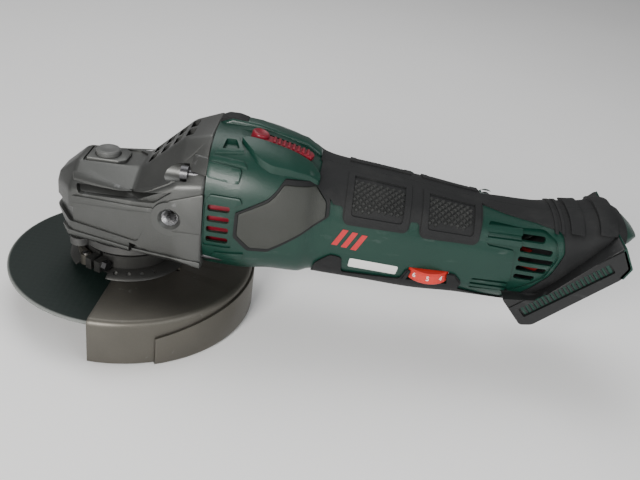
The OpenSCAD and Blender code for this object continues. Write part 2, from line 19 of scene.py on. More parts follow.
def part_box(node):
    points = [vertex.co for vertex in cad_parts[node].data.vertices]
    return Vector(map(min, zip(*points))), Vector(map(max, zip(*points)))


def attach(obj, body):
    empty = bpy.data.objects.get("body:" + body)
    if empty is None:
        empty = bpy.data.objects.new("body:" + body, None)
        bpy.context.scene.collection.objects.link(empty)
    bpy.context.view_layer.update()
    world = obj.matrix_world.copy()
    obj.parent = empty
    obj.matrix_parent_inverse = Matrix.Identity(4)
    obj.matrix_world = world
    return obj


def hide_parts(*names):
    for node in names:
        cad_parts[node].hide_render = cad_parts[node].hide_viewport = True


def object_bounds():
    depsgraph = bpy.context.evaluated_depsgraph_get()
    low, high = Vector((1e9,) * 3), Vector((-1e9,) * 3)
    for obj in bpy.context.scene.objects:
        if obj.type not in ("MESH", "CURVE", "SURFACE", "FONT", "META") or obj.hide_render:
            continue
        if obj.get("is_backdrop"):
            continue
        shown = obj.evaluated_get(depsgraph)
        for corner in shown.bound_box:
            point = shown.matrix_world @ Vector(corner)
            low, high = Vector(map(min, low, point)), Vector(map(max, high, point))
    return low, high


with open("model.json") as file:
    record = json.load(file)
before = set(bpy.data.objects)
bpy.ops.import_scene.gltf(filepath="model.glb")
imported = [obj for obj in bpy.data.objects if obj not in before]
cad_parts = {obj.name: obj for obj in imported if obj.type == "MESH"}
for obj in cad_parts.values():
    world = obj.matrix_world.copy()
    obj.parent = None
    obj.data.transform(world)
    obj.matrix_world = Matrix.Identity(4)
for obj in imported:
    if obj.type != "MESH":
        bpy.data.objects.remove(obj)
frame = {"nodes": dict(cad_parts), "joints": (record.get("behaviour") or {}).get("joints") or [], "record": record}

log = logging.getLogger("angle_grinder")
MM = 0.001
Point = tuple[float, float, float]
Outline = Sequence[tuple[float, float]]
Number = Union[float, "Sock"]


class Side(Enum):
    """Side of the tool that a piece lies on, by the sign of Y."""

    LEFT = -1
    RIGHT = 1


class Op(Enum):
    """What a boolean does to its target."""

    CUT = "DIFFERENCE"
    JOIN = "UNION"
    KEEP = "INTERSECT"


# ---------------------------------------------------------------- shader maths


class Sock:
    """Wraps a shader socket so that Python operators add Math nodes."""

    def __init__(self, shader: "Shader", socket: bpy.types.NodeSocket) -> None:
        """Keeps the tree and the socket that an expression goes on from."""
        self.shader = shader
        self.socket = socket

    def math(self, operation: str, *others: Number) -> "Sock":
        """Adds one Math node.

        Args:
            operation: the Math node's operation.
            others: its further inputs.

        Returns:
            The node's result.
        """
        values = {i: v for i, v in enumerate((self, *others))}
        return self.shader.node("ShaderNodeMath", {"operation": operation}, values)

    def __add__(self, other: Number) -> "Sock":
        """Sum."""
        return self.math("ADD", other)

    __radd__ = __add__

    def __mul__(self, other: Number) -> "Sock":
        """Product."""
        return self.math("MULTIPLY", other)

    __rmul__ = __mul__

    def __sub__(self, other: Number) -> "Sock":
        """Difference."""
        return self.math("SUBTRACT", other)

    def __rsub__(self, other: float) -> "Sock":
        """Difference from a number, as in 1 - mask."""
        return (self * -1.0) + other

    def __pow__(self, other: Number) -> "Sock":
        """Power."""
        return self.math("POWER", other)

    def clamp(self, low: float, high: float) -> "Sock":
        """Limits the value to a range."""
        return self.math("MAXIMUM", low).math("MINIMUM", high)


class Shader:
    """One material's node tree."""

    def __init__(self, name: str) -> None:
        """Starts an empty material that uses nodes."""
        self.material = bpy.data.materials.new(name)
        self.material.use_nodes = True
        self.tree = self.material.node_tree
        self.tree.nodes.clear()

    def node(self, kind: str, settings: Optional[dict] = None, values: Optional[dict] = None,
             output: Union[int, str] = 0) -> Sock:
        """Adds any node.

        Args:
            kind: the node's type.
            settings: its properties, set before its sockets.
            values: numbers, colours or links by socket name or number.
            output: the output to return.

        Returns:
            The chosen output, wrapped.
        """
        made = self.tree.nodes.new(kind)
        for key, value in (settings or {}).items():
            if key == "stops":
                ramp = made.color_ramp
                for i, (place, shade) in enumerate(value):
                    stop = ramp.elements[i] if i < 2 else ramp.elements.new(place)
                    stop.position = place
                    stop.color = (shade, shade, shade, 1.0)
            else:
                setattr(made, key, value)
        for key, value in (values or {}).items():
            if isinstance(value, Sock):
                self.tree.links.new(value.socket, made.inputs[key])
            elif value is not None:
                made.inputs[key].default_value = value
        return Sock(self, made.outputs[output])

    def place(self, scale: Point = (1.0, 1.0, 1.0)) -> Sock:
        """Object coordinates, stretched by a Mapping node."""
        coords = self.node("ShaderNodeTexCoord", output="Object")
        return self.node("ShaderNodeMapping", {}, {"Vector": coords, "Scale": scale})

    def noise(self, scale: float, detail: float = 3.0, stretch: Point = (1.0, 1.0, 1.0)) -> Sock:
        """Noise from 0 to 1 over object coordinates, with scale in cells per metre."""
        return self.node("ShaderNodeTexNoise", {}, {"Vector": self.place(stretch), "Scale": scale,
                                                    "Detail": detail, "Roughness": 0.55}, "Fac")

    def blend(self, factor: Number, first: Union[Sock, Sequence[float]],
              second: Union[Sock, Sequence[float]]) -> Sock:
        """Mixes two colours."""
        return self.node("ShaderNodeMix", {"data_type": "RGBA"}, {0: factor, 6: first, 7: second}, 2)

    def bump(self, height: Sock, strength: float, distance: float) -> Sock:
        """Turns a height into a normal; the distance is in metres."""
        return self.node("ShaderNodeBump", {}, {"Strength": strength, "Distance": distance, "Height": height})

    def finish(self, base: dict) -> bpy.types.Material:
        """Ends the tree in a Principled BSDF.

        Args:
            base: values or links for the Principled's sockets.

        Returns:
            The finished material.
        """
        bsdf = self.node("ShaderNodeBsdfPrincipled", {}, base)
        self.node_out = self.tree.nodes.new("ShaderNodeOutputMaterial")
        self.tree.links.new(bsdf.socket, self.node_out.inputs["Surface"])
        return self.material


def rgba(colour: Sequence[float], gain: float = 1.0) -> tuple[float, float, float, float]:
    """Colour as four numbers, lightened or darkened by a gain."""
    return (colour[0] * gain, colour[1] * gain, colour[2] * gain, 1.0)


@dataclass(frozen=True)
class Plastic:
    """Injection-moulded plastic: spark-eroded grain, rubbed patches and faint scuffs."""

    name: str
    colour: Point
    roughness: float = 0.42
    grain_mm: float = 0.45
    grain_depth: float = 0.25
    rubbed: float = 0.12
    coat: float = 0.0

    def build(self) -> bpy.types.Material:
        """Makes the material."""
        s = Shader(self.name)
        broad = s.noise(38.0, 4.0)
        grain = s.noise(1.0 / (self.grain_mm * MM), 2.0)
        scuffs = s.noise(260.0, 5.0, (0.25, 1.0, 1.0))
        scuff = ((scuffs - 0.62) * 9.0).clamp(0.0, 1.0)
        tone = s.blend(broad, rgba(self.colour, 0.86), rgba(self.colour, 1.16))
        tone = s.blend(scuff * 0.12, tone, rgba((0.2, 0.21, 0.21)))
        rough = (broad - 0.5) * self.rubbed + (grain - 0.5) * 0.12 + scuff * 0.08 + self.roughness
        return s.finish({"Base Color": tone, "Roughness": rough.clamp(0.08, 1.0),
                         "Coat Weight": self.coat, "Specular IOR Level": 0.38,
                         "Normal": s.bump(grain * 0.8 + scuff * -0.3, self.grain_depth, 0.0003)})


@dataclass(frozen=True)
class Rubber:
    """Soft overmould: matt, finely pebbled, with patches of dust."""

    name: str
    colour: Point
    roughness: float = 0.62

    def build(self) -> bpy.types.Material:
        """Makes the material."""
        s = Shader(self.name)
        pebble = s.node("ShaderNodeTexVoronoi", {"feature": "F1"}, {"Vector": s.place(), "Scale": 1900.0})
        dust = ((s.noise(70.0, 6.0) - 0.5) * 3.0).clamp(0.0, 1.0)
        tone = s.blend(dust * 0.25, rgba(self.colour), rgba((0.06, 0.06, 0.058)))
        rough = dust * 0.16 + pebble * 0.1 + self.roughness
        return s.finish({"Base Color": tone, "Roughness": rough.clamp(0.1, 1.0), "Specular IOR Level": 0.3,
                         "Normal": s.bump(pebble, 0.22, 0.0002)})


@dataclass(frozen=True)
class CastLacquer:
    """Die-cast metal under dark metallic lacquer: orange peel, flakes and rubbed lighter spots."""

    name: str
    colour: Point
    metallic: float = 0.75
    roughness: float = 0.36
    peel: float = 0.3
    worn: Point = (0.4, 0.41, 0.42)

    def build(self) -> bpy.types.Material:
        """Makes the material."""
        s = Shader(self.name)
        cast = s.noise(900.0, 5.0)
        flakes = s.node("ShaderNodeTexVoronoi", {"feature": "F1"}, {"Vector": s.place(), "Scale": 5200.0},
                        "Distance")
        stain = s.noise(48.0, 5.0)
        worn = ((s.noise(150.0, 7.0) - 0.66) * 12.0).clamp(0.0, 1.0)
        tone = s.blend(stain, rgba(self.colour, 0.78), rgba(self.colour, 1.25))
        tone = s.blend(flakes * 0.25, tone, rgba(self.colour, 2.0))
        tone = s.blend(worn * 0.3, tone, rgba(self.worn))
        rough = (stain - 0.5) * 0.2 + cast * 0.12 + self.roughness
        return s.finish({"Base Color": tone, "Metallic": self.metallic, "Roughness": rough.clamp(0.12, 1.0),
                         "Normal": s.bump(cast * 0.7 + flakes * 0.3, self.peel, 0.0002)})


@dataclass(frozen=True)
class Steel:
    """Turned, ground or blackened steel with fine tool marks."""

    name: str
    colour: Point
    roughness: float = 0.28
    marks: Point = (1.0, 1.0, 14.0)

    def build(self) -> bpy.types.Material:
        """Makes the material."""
        s = Shader(self.name)
        lines = s.noise(420.0, 4.0, self.marks)
        stain = s.noise(90.0, 5.0)
        tone = s.blend(stain, rgba(self.colour, 0.75), rgba(self.colour, 1.15))
        rough = (lines - 0.5) * 0.25 + (stain - 0.5) * 0.15 + self.roughness
        return s.finish({"Base Color": tone, "Metallic": 1.0, "Roughness": rough.clamp(0.08, 1.0),
                         "Normal": s.bump(lines, 0.2, 0.00008)})


@dataclass(frozen=True)
class Abrasive:
    """Bonded disc: gritty face, glass-mesh weave and a paler worn rim."""

    name: str
    colour: Point
    rim_colour: Point
    radius_mm: float
    rim_mm: float = 4.0

    def build(self) -> bpy.types.Material:
        """Makes the material."""
        s = Shader(self.name)
        coords = s.node("ShaderNodeTexCoord", output="Object")
        flat = s.node("ShaderNodeVectorMath", {"operation": "MULTIPLY"}, {0: coords, 1: (1.0, 1.0, 0.0)})
        radius = s.node("ShaderNodeVectorMath", {"operation": "LENGTH"}, {0: flat}, "Value") * 1000.0
        rim = ((radius - (self.radius_mm - self.rim_mm)) * 0.9).clamp(0.0, 1.0)
        grit = s.noise(2600.0, 3.0)
        weave = s.node("ShaderNodeTexWave", {"bands_direction": "X"}, {"Vector": s.place(), "Scale": 95.0,
                                                                       "Distortion": 0.6, "Detail": 1.0}, 1)
        weft = s.node("ShaderNodeTexWave", {"bands_direction": "Y"}, {"Vector": s.place(), "Scale": 95.0,
                                                                      "Distortion": 0.6, "Detail": 1.0}, 1)
        patch = s.noise(30.0, 4.0)
        tone = s.blend(grit, rgba(self.colour, 0.6), rgba(self.colour, 1.5))
        tone = s.blend((weave + weft) * 0.12, tone, rgba(self.colour, 2.0))
        tone = s.blend(rim * 0.8, tone, rgba(self.rim_colour))
        rough = patch * 0.2 + grit * 0.12 + rim * 0.1 + 0.34
        height = grit * 0.6 + (weave + weft) * 0.25
        return s.finish({"Base Color": tone, "Roughness": rough.clamp(0.1, 1.0), "Specular IOR Level": 0.3,
                         "Normal": s.bump(height, 0.35, 0.0002)})


@dataclass(frozen=True)
class Floor:
    """Plain pale floor."""

    name: str = "pale_floor"

    def build(self) -> bpy.types.Material:
        """Makes the material."""
        s = Shader(self.name)
        tone = s.blend(s.noise(6.0, 2.0), rgba((0.86, 0.86, 0.86)), rgba((0.9, 0.9, 0.9)))
        return s.finish({"Base Color": tone, "Roughness": 0.7})


FINISHES = {
    "housing_green": Plastic("green_shell", (0.003, 0.028, 0.019), 0.36, 0.4, 0.3, 0.1, 0.05),
    "soft_black": Rubber("soft_grip", (0.0075, 0.008, 0.0085)),
    "black_plastic": Plastic("black_shell", (0.009, 0.0095, 0.0098), 0.42, 0.4, 0.3),
    "signal_red": Plastic("red_control", (0.16, 0.006, 0.016), 0.38, 0.5, 0.2),
    "die_cast": CastLacquer("cast_head", (0.088, 0.09, 0.087), 0.88, 0.38),
    "cap_metal": CastLacquer("cast_cap", (0.11, 0.11, 0.108), 0.85, 0.4),
    "collar_metal": CastLacquer("collar_lacquer", (0.05, 0.05, 0.048), 0.8, 0.4),
    "button_grey": Plastic("lock_cap_grey", (0.085, 0.087, 0.085), 0.4),
    "guard_steel": CastLacquer("guard_lacquer", (0.105, 0.099, 0.086), 0.9, 0.4, 0.22),
    "steel": Steel("ground_steel", (0.5, 0.5, 0.51)),
    "dark_steel": Steel("blackened_steel", (0.1, 0.1, 0.105), 0.4),
    "disc_bond": Abrasive("disc_bond", (0.004, 0.009, 0.0075), (0.2, 0.21, 0.2), 62.5, 1.3),
    "copper": Steel("enamelled_copper", (0.5, 0.19, 0.07), 0.35, (1.0, 20.0, 20.0)),
    "contact": Steel("plated_contact", (0.3, 0.24, 0.14), 0.3),
    "board": Plastic("board_laminate", (0.01, 0.11, 0.05), 0.35, 0.8, 0.4),
    "aluminium": Steel("anodised_aluminium", (0.05, 0.05, 0.055), 0.4, (0.05, 6.0, 6.0)),
    "lead_red": Plastic("lead_sleeve", (0.3, 0.012, 0.012), 0.5, 0.6, 0.2),
    "paint_red": Plastic("painted_stripe", (0.42, 0.02, 0.025), 0.45, 0.6, 0.15),
    "dial_red": Plastic("dial_wheel_red", (0.5, 0.028, 0.02), 0.42, 0.6, 0.2),
    "label_pale": Plastic("blank_label", (0.62, 0.62, 0.6), 0.42, 0.7, 0.1),
    "knurl_black": Rubber("grip_field", (0.017, 0.018, 0.0175), 0.5),
    "pad_grey": Rubber("side_pad", (0.034, 0.036, 0.032), 0.5),
    "digit_pale": Plastic("dial_digit", (0.75, 0.72, 0.7), 0.5, 0.6, 0.1),
}
MATERIALS: dict[str, bpy.types.Material] = {}


def material(name: str) -> bpy.types.Material:
    """Material of a finish, made once."""
    if name not in MATERIALS:
        MATERIALS[name] = FINISHES[name].build()
    return MATERIALS[name]


# ---------------------------------------------------------------- mesh helpers


def mesh_object(name: str, verts: Sequence[Sequence[float]],
                faces: Sequence[Sequence[int]]) -> bpy.types.Object:
    """Makes an object from points in millimetres.

    Args:
        name: the object's name.
        verts: points in millimetres.
        faces: polygons, as point numbers.

    Returns:
        The object, with its normals outward and its place in its mesh.
    """
    mesh = bpy.data.meshes.new(name)
    mesh.from_pydata([[c * MM for c in v] for v in verts], [], [list(f) for f in faces])
    made = bpy.data.objects.new(name, mesh)
    bpy.context.scene.collection.objects.link(made)
    bm = bmesh.new()
    bm.from_mesh(mesh)
    bmesh.ops.remove_doubles(bm, verts=bm.verts, dist=1e-7)
    bmesh.ops.recalc_face_normals(bm, faces=bm.faces)
    bm.to_mesh(mesh)
    bm.free()
    return made


def loft(name: str, rings: Sequence[Sequence[Point]]) -> bpy.types.Object:
    """Closed solid through rings that have the same number of points."""
    n = len(rings[0])
    verts = [p for ring in rings for p in ring]
    faces = [[k * n + i, k * n + (i + 1) % n, (k + 1) * n + (i + 1) % n, (k + 1) * n + i]
             for k in range(len(rings) - 1) for i in range(n)]
    faces += [list(range(n)), [(len(rings) - 1) * n + i for i in range(n)]]
    return mesh_object(name, verts, faces)


def side_prism(outline: Outline, y0: float, y1: float, name: str = "prism") -> bpy.types.Object:
    """Solid whose outline (x, z) is seen from the side and which runs from y0 to y1."""
    return loft(name, [[(x, y, z) for x, z in outline] for y in (y0, y1)])


def top_prism(outline: Outline, z0: float, z1: float, name: str = "prism") -> bpy.types.Object:
    """Solid whose outline (x, y) is seen from above and which runs from z0 to z1."""
    return loft(name, [[(x, y, z) for x, y in outline] for z in (z0, z1)])


def rod(start: Point, end: Point, radius: float, sides: int = 40, end_radius: Optional[float] = None,
        name: str = "rod") -> bpy.types.Object:
    """Cylinder or cone between two points."""
    a, b = Vector(start), Vector(end)
    d = (b - a).normalized()
    u = d.orthogonal().normalized()
    v = d.cross(u)
    turns = [2 * math.pi * i / sides for i in range(sides)]
    return loft(name, [[tuple(c + r * (math.cos(t) * u + math.sin(t) * v)) for t in turns]
                       for c, r in ((a, radius), (b, radius if end_radius is None else end_radius))])


def lathe(name: str, profile: Outline, start: float = 0.0, span: float = 360.0, steps: int = 96,
          lift: Callable[[float, float, float], float] = lambda angle, r, z: z) -> bpy.types.Object:
    """Turns a closed profile about the spindle's axis.

    Args:
        name: the object's name.
        profile: closed outline as (radius, z).
        start: angle of the first section in degrees.
        span: angle swept in degrees.
        steps: number of sections.
        lift: gives a point's height from its angle, radius and profile height.

    Returns:
        The closed solid.
    """
    whole = span >= 360.0
    count = steps if whole else steps + 1
    n = len(profile)
    verts = []
    for k in range(count):
        angle = start + span * k / steps
        c, s = math.cos(math.radians(angle)), math.sin(math.radians(angle))
        verts += [(r * c, r * s, lift(angle, r, z)) for r, z in profile]
    faces = [[k * n + i, k * n + (i + 1) % n, ((k + 1) % count) * n + (i + 1) % n, ((k + 1) % count) * n + i]
             for k in range(steps) for i in range(n)]
    if not whole:
        faces += [list(range(n)), [(count - 1) * n + i for i in range(n)]]
    return mesh_object(name, verts, faces)


def arc(cx: float, cy: float, r: float, a0: float, a1: float, steps: int = 6) -> list[tuple[float, float]]:
    """Points along an arc, both ends included."""
    turns = [math.radians(a0 + (a1 - a0) * i / steps) for i in range(steps + 1)]
    return [(cx + r * math.cos(t), cy + r * math.sin(t)) for t in turns]


def rounded(outline: Outline, radius: float, steps: int = 4) -> list[tuple[float, float]]:
    """Rounds every corner of an outline by a curve that starts the radius away from it."""
    made = []
    for i, corner in enumerate(outline):
        c = Vector(corner)
        before, after = Vector(outline[i - 1]), Vector(outline[(i + 1) % len(outline)])
        reach = min(radius, (before - c).length * 0.45, (after - c).length * 0.45)
        a = c + (before - c).normalized() * reach
        b = c + (after - c).normalized() * reach
        for k in range(steps + 1):
            t = k / steps
            p = a.lerp(c, t).lerp(c.lerp(b, t), t)
            made.append((p.x, p.y))
    return made


def apply_modifiers(piece: bpy.types.Object) -> bpy.types.Object:
    """Bakes the modifiers of a piece into its mesh."""
    bpy.context.view_layer.update()
    graph = bpy.context.evaluated_depsgraph_get()
    mesh = bpy.data.meshes.new_from_object(piece.evaluated_get(graph))
    piece.modifiers.clear()
    old = piece.data
    piece.data = mesh
    bpy.data.meshes.remove(old)
    return piece


def combine(target: bpy.types.Object, op: Op, tools: Iterable[bpy.types.Object]) -> bpy.types.Object:
    """Runs a boolean with each tool and removes the tool.

    Args:
        target: the piece to change.
        op: what to do.
        tools: the other solids.

    Returns:
        The changed piece.
    """
    for tool in tools:
        modifier = target.modifiers.new("combine", "BOOLEAN")
        modifier.operation = op.value
        modifier.solver = "MANIFOLD"
        modifier.object = tool
        apply_modifiers(target)
        bpy.data.objects.remove(tool)
    return target


def duplicate(piece: bpy.types.Object, name: str) -> bpy.types.Object:
    """Copy of a piece with a mesh of its own."""
    made = piece.copy()
    made.data = piece.data.copy()
    made.name = name
    bpy.context.scene.collection.objects.link(made)
    return made


def soften(piece: bpy.types.Object, width: float, segments: int = 2, angle: float = 28.0) -> bpy.types.Object:
    """Bevels the edges of a piece that are sharper than an angle; the width is in millimetres."""
    modifier = piece.modifiers.new("soften", "BEVEL")
    modifier.width = width * MM
    modifier.segments = segments
    modifier.limit_method = "ANGLE"
    modifier.angle_limit = math.radians(angle)
    modifier.use_clamp_overlap = True
    return apply_modifiers(piece)


def tidy_mesh(piece: bpy.types.Object, angle: float = 34.0) -> bpy.types.Object:
    """Merges slivers and shades smooth except over sharp edges."""
    bm = bmesh.new()
    bm.from_mesh(piece.data)
    bmesh.ops.remove_doubles(bm, verts=bm.verts, dist=2e-6)
    bmesh.ops.dissolve_degenerate(bm, edges=bm.edges, dist=1e-6)
    bm.to_mesh(piece.data)
    bm.free()
    for polygon in piece.data.polygons:
        polygon.use_smooth = True
    piece.data.set_sharp_from_angle(angle=math.radians(angle))
    return piece


def dress(piece: bpy.types.Object, finish: str, body: str, nodes: Sequence[str] = (),
          angle: float = 34.0) -> bpy.types.Object:
    """Gives a finished piece its material, body and CAD nodes.

    Args:
        piece: the piece.
        finish: name of its finish.
        body: the body that it rides on.
        nodes: CAD nodes that it stands for.
        angle: edges sharper than this stay sharp.

    Returns:
        The piece.
    """
    tidy_mesh(piece, angle)
    piece.data.materials.clear()
    piece.data.materials.append(material(finish))
    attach(piece, body)
    if nodes:
        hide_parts(*nodes)
    log.info("%s: %d faces on %s", piece.name, len(piece.data.polygons), body)
    return piece


# ---------------------------------------------------------------- geometry nodes


class Scatter:
    """Puts an element on points that each carry a turn, and makes the result real."""

    def __init__(self, name: str) -> None:
        """Builds the node tree with its named inputs."""
        tree = bpy.data.node_groups.new(name, "GeometryNodeTree")
        face = tree.interface
        face.new_socket("Geometry", in_out="INPUT", socket_type="NodeSocketGeometry")
        face.new_socket("Element", in_out="INPUT", socket_type="NodeSocketObject")
        face.new_socket("Size", in_out="INPUT", socket_type="NodeSocketFloat")
        face.new_socket("Finish", in_out="INPUT", socket_type="NodeSocketMaterial")
        face.new_socket("Geometry", in_out="OUTPUT", socket_type="NodeSocketGeometry")
        inside, outside = tree.nodes.new("NodeGroupInput"), tree.nodes.new("NodeGroupOutput")
        info = tree.nodes.new("GeometryNodeObjectInfo")
        info.inputs["As Instance"].default_value = True
        turn = tree.nodes.new("GeometryNodeInputNamedAttribute")
        turn.data_type = "FLOAT_VECTOR"
        turn.inputs["Name"].default_value = "turn"
        rotation = tree.nodes.new("FunctionNodeEulerToRotation")
        points = tree.nodes.new("GeometryNodeMeshToPoints")
        put = tree.nodes.new("GeometryNodeInstanceOnPoints")
        real = tree.nodes.new("GeometryNodeRealizeInstances")
        finish = tree.nodes.new("GeometryNodeSetMaterial")
        link = tree.links.new
        link(inside.outputs["Geometry"], points.inputs["Mesh"])
        link(inside.outputs["Element"], info.inputs["Object"])
        link(points.outputs["Points"], put.inputs["Points"])
        link(info.outputs["Geometry"], put.inputs["Instance"])
        link(turn.outputs["Attribute"], rotation.inputs["Euler"])
        link(rotation.outputs["Rotation"], put.inputs["Rotation"])
        link(inside.outputs["Size"], put.inputs["Scale"])
        link(put.outputs["Instances"], real.inputs["Geometry"])
        link(real.outputs["Geometry"], finish.inputs["Geometry"])
        link(inside.outputs["Finish"], finish.inputs["Material"])
        link(finish.outputs["Geometry"], outside.inputs["Geometry"])
        self.tree = tree

    def make(self, name: str, element: bpy.types.Object, places: Sequence[tuple[Point, Matrix]],
             finish: str, size: float = 1.0) -> bpy.types.Object:
        """Scatters one element.

        Args:
            name: the new piece's name.
            element: the element, made around the origin; it is removed afterwards.
            places: points in millimetres, each with a rotation.
            finish: name of the finish.
            size: scale of the element.

        Returns:
            A plain mesh of all the elements.
        """
        mesh = bpy.data.meshes.new(name)
        mesh.from_pydata([[c * MM for c in p] for p, _ in places], [], [])
        turns = mesh.attributes.new("turn", "FLOAT_VECTOR", "POINT")
        turns.data.foreach_set("vector", [c for _, m in places for c in m.to_euler()])
        made = bpy.data.objects.new(name, mesh)
        bpy.context.scene.collection.objects.link(made)
        modifier = made.modifiers.new("scatter", "NODES")
        modifier.node_group = self.tree
        sockets = {item.name: item.identifier for item in self.tree.interface.items_tree
                   if item.in_out == "INPUT"}
        modifier[sockets["Element"]] = element
        modifier[sockets["Size"]] = size
        modifier[sockets["Finish"]] = material(finish)
        apply_modifiers(made)
        bpy.data.objects.remove(element)
        return made


def basis(x: Vector, z: Vector) -> Matrix:
    """Rotation whose X axis is close to x and whose Z axis is z."""
    z = z.normalized()
    y = z.cross(x).normalized()
    return Matrix((y.cross(z), y, z)).transposed()


# ---------------------------------------------------------------- forms


def smooth_steps(knots: Sequence[float], values: Sequence[float], at: np.ndarray) -> np.ndarray:
    """Interpolates through knots without overshoot (a monotone cubic)."""
    x, y = np.asarray(knots, float), np.asarray(values, float)
    h = np.diff(x)
    slope = np.diff(y) / h
    tangent = np.zeros_like(y)
    for i in range(1, len(x) - 1):
        if slope[i - 1] * slope[i] > 0:
            w0, w1 = 2 * h[i] + h[i - 1], h[i] + 2 * h[i - 1]
            tangent[i] = (w0 + w1) / (w0 / slope[i - 1] + w1 / slope[i])
    tangent[0], tangent[-1] = slope[0], slope[-1]
    k = np.clip(np.searchsorted(x, at, side="right") - 1, 0, len(h) - 1)
    t = (at - x[k]) / h[k]
    a, b = tangent[k] * h[k], tangent[k + 1] * h[k]
    return ((2 * t**3 - 3 * t**2 + 1) * y[k] + (t**3 - 2 * t**2 + t) * a
            + (3 * t**2 - 2 * t**3) * y[k + 1] + (t**3 - t**2) * b)


@dataclass(frozen=True)
class Station:
    """Section of the handle at one place along X, in millimetres."""

    x: float
    half_width: float
    low: float
    high: float


@dataclass
class HandleForm:
    """The rounded body of the housing as a surface over (x, angle)."""

    stations: tuple[Station, ...] = (
        Station(44, 33.5, 14, 86), Station(60, 35, 14, 86), Station(80, 34.5, 16.5, 82.5),
        Station(91, 33, 16.5, 78), Station(97.5, 29.4, 18.2, 74.2), Station(105, 28, 17.6, 72.8),
        Station(125, 27.2, 17, 71), Station(150, 26.2, 16, 68.6), Station(175, 24.8, 17, 65.8),
        Station(196, 24.8, 17.2, 64.4), Station(206, 25.4, 18, 64.2), Station(215, 25.2, 24, 65),
        Station(226, 23, 33, 66.5), Station(240, 20, 47, 69.5), Station(251, 14, 57, 66),
        Station(256, 8, 60, 62.5))
    power: float = 0.78
    sides: int = 112
    pitch: float = 2.0

    def section(self, x: Union[float, np.ndarray], inset: float) -> tuple[np.ndarray, np.ndarray, np.ndarray]:
        """Half width, centre height and half height at x, pulled in by an inset."""
        at = np.atleast_1d(np.asarray(x, float))
        xs = [s.x for s in self.stations]
        width = smooth_steps(xs, [s.half_width for s in self.stations], at)
        low = smooth_steps(xs, [s.low for s in self.stations], at)
        high = smooth_steps(xs, [s.high for s in self.stations], at)
        return width - inset, (low + high) / 2, (high - low) / 2 - inset

    def point(self, x: float, angle: float, inset: float = 0.0) -> Vector:
        """Surface point at x and at an angle from +Y towards +Z, in degrees."""
        w, c, h = (float(v[0]) for v in self.section(x, inset))
        ca, sa = math.cos(math.radians(angle)), math.sin(math.radians(angle))
        return Vector((x, w * math.copysign(abs(ca) ** self.power, ca),
                       c + h * math.copysign(abs(sa) ** self.power, sa)))

    def normal(self, x: float, angle: float) -> Vector:
        """Outward normal at x and an angle."""
        along = self.point(min(x + 0.5, 255.9), angle) - self.point(x - 0.5, angle)
        around = self.point(x, angle + 0.5) - self.point(x, angle - 0.5)
        return around.cross(along).normalized()

    def solid(self, inset: float, x0: float = 44.0, x1: float = 256.0) -> bpy.types.Object:
        """Closed solid of the form between two stations, pulled in by an inset."""
        count = max(2, int((x1 - x0) / self.pitch))
        xs = np.linspace(x0, x1, count + 1)
        widths, centres, heights = self.section(np.clip(xs, self.stations[0].x, self.stations[-1].x), inset)
        turns = [2 * math.pi * (i + 0.5) / self.sides for i in range(self.sides)]
        shape = [(math.copysign(abs(math.cos(t)) ** self.power, math.cos(t)),
                  math.copysign(abs(math.sin(t)) ** self.power, math.sin(t))) for t in turns]
        return loft("form", [[(x, w * cy, c + h * sz) for cy, sz in shape]
                             for x, w, c, h in zip(xs, widths, centres, heights)])

    def skin(self, outer: float, inner: float, regions: Sequence[bpy.types.Object], x0: float = 46.0,
             x1: float = 250.0) -> bpy.types.Object:
        """Layer between two insets, kept only where the regions lie."""
        region = regions[0]
        combine(region, Op.JOIN, regions[1:])
        layer = combine(self.solid(outer, x0, x1), Op.CUT, [self.solid(inner, x0 - 1, x1 + 1)])
        return combine(layer, Op.KEEP, [region])


def switch_matrix(box_low: Vector, box_high: Vector) -> Matrix:
    """Frame of the switch's track, in millimetres, from the CAD slider's own axis."""
    joint = next(j for j in frame["joints"] if j["name"] == "switch_slide")
    along = Vector(joint["axis"]) * -1.0
    turn = basis(along, Vector((0, 0, 1)) - along * along.z)
    centre_y = (box_low.y + box_high.y) / 2 / MM
    return Matrix.Translation((57.0, centre_y, 85.6)) @ turn.to_4x4()


def track_box(place: Matrix, low: Point, high: Point) -> bpy.types.Object:
    """Box between two corners in the track's frame."""
    corners = [[(x, y, z) for x, y in ((low[0], low[1]), (high[0], low[1]), (high[0], high[1]),
                                       (low[0], high[1]))] for z in (low[2], high[2])]
    return loft("track_box", [[tuple(place @ Vector(p)) for p in ring] for ring in corners])


# ---------------------------------------------------------------- sub-assemblies


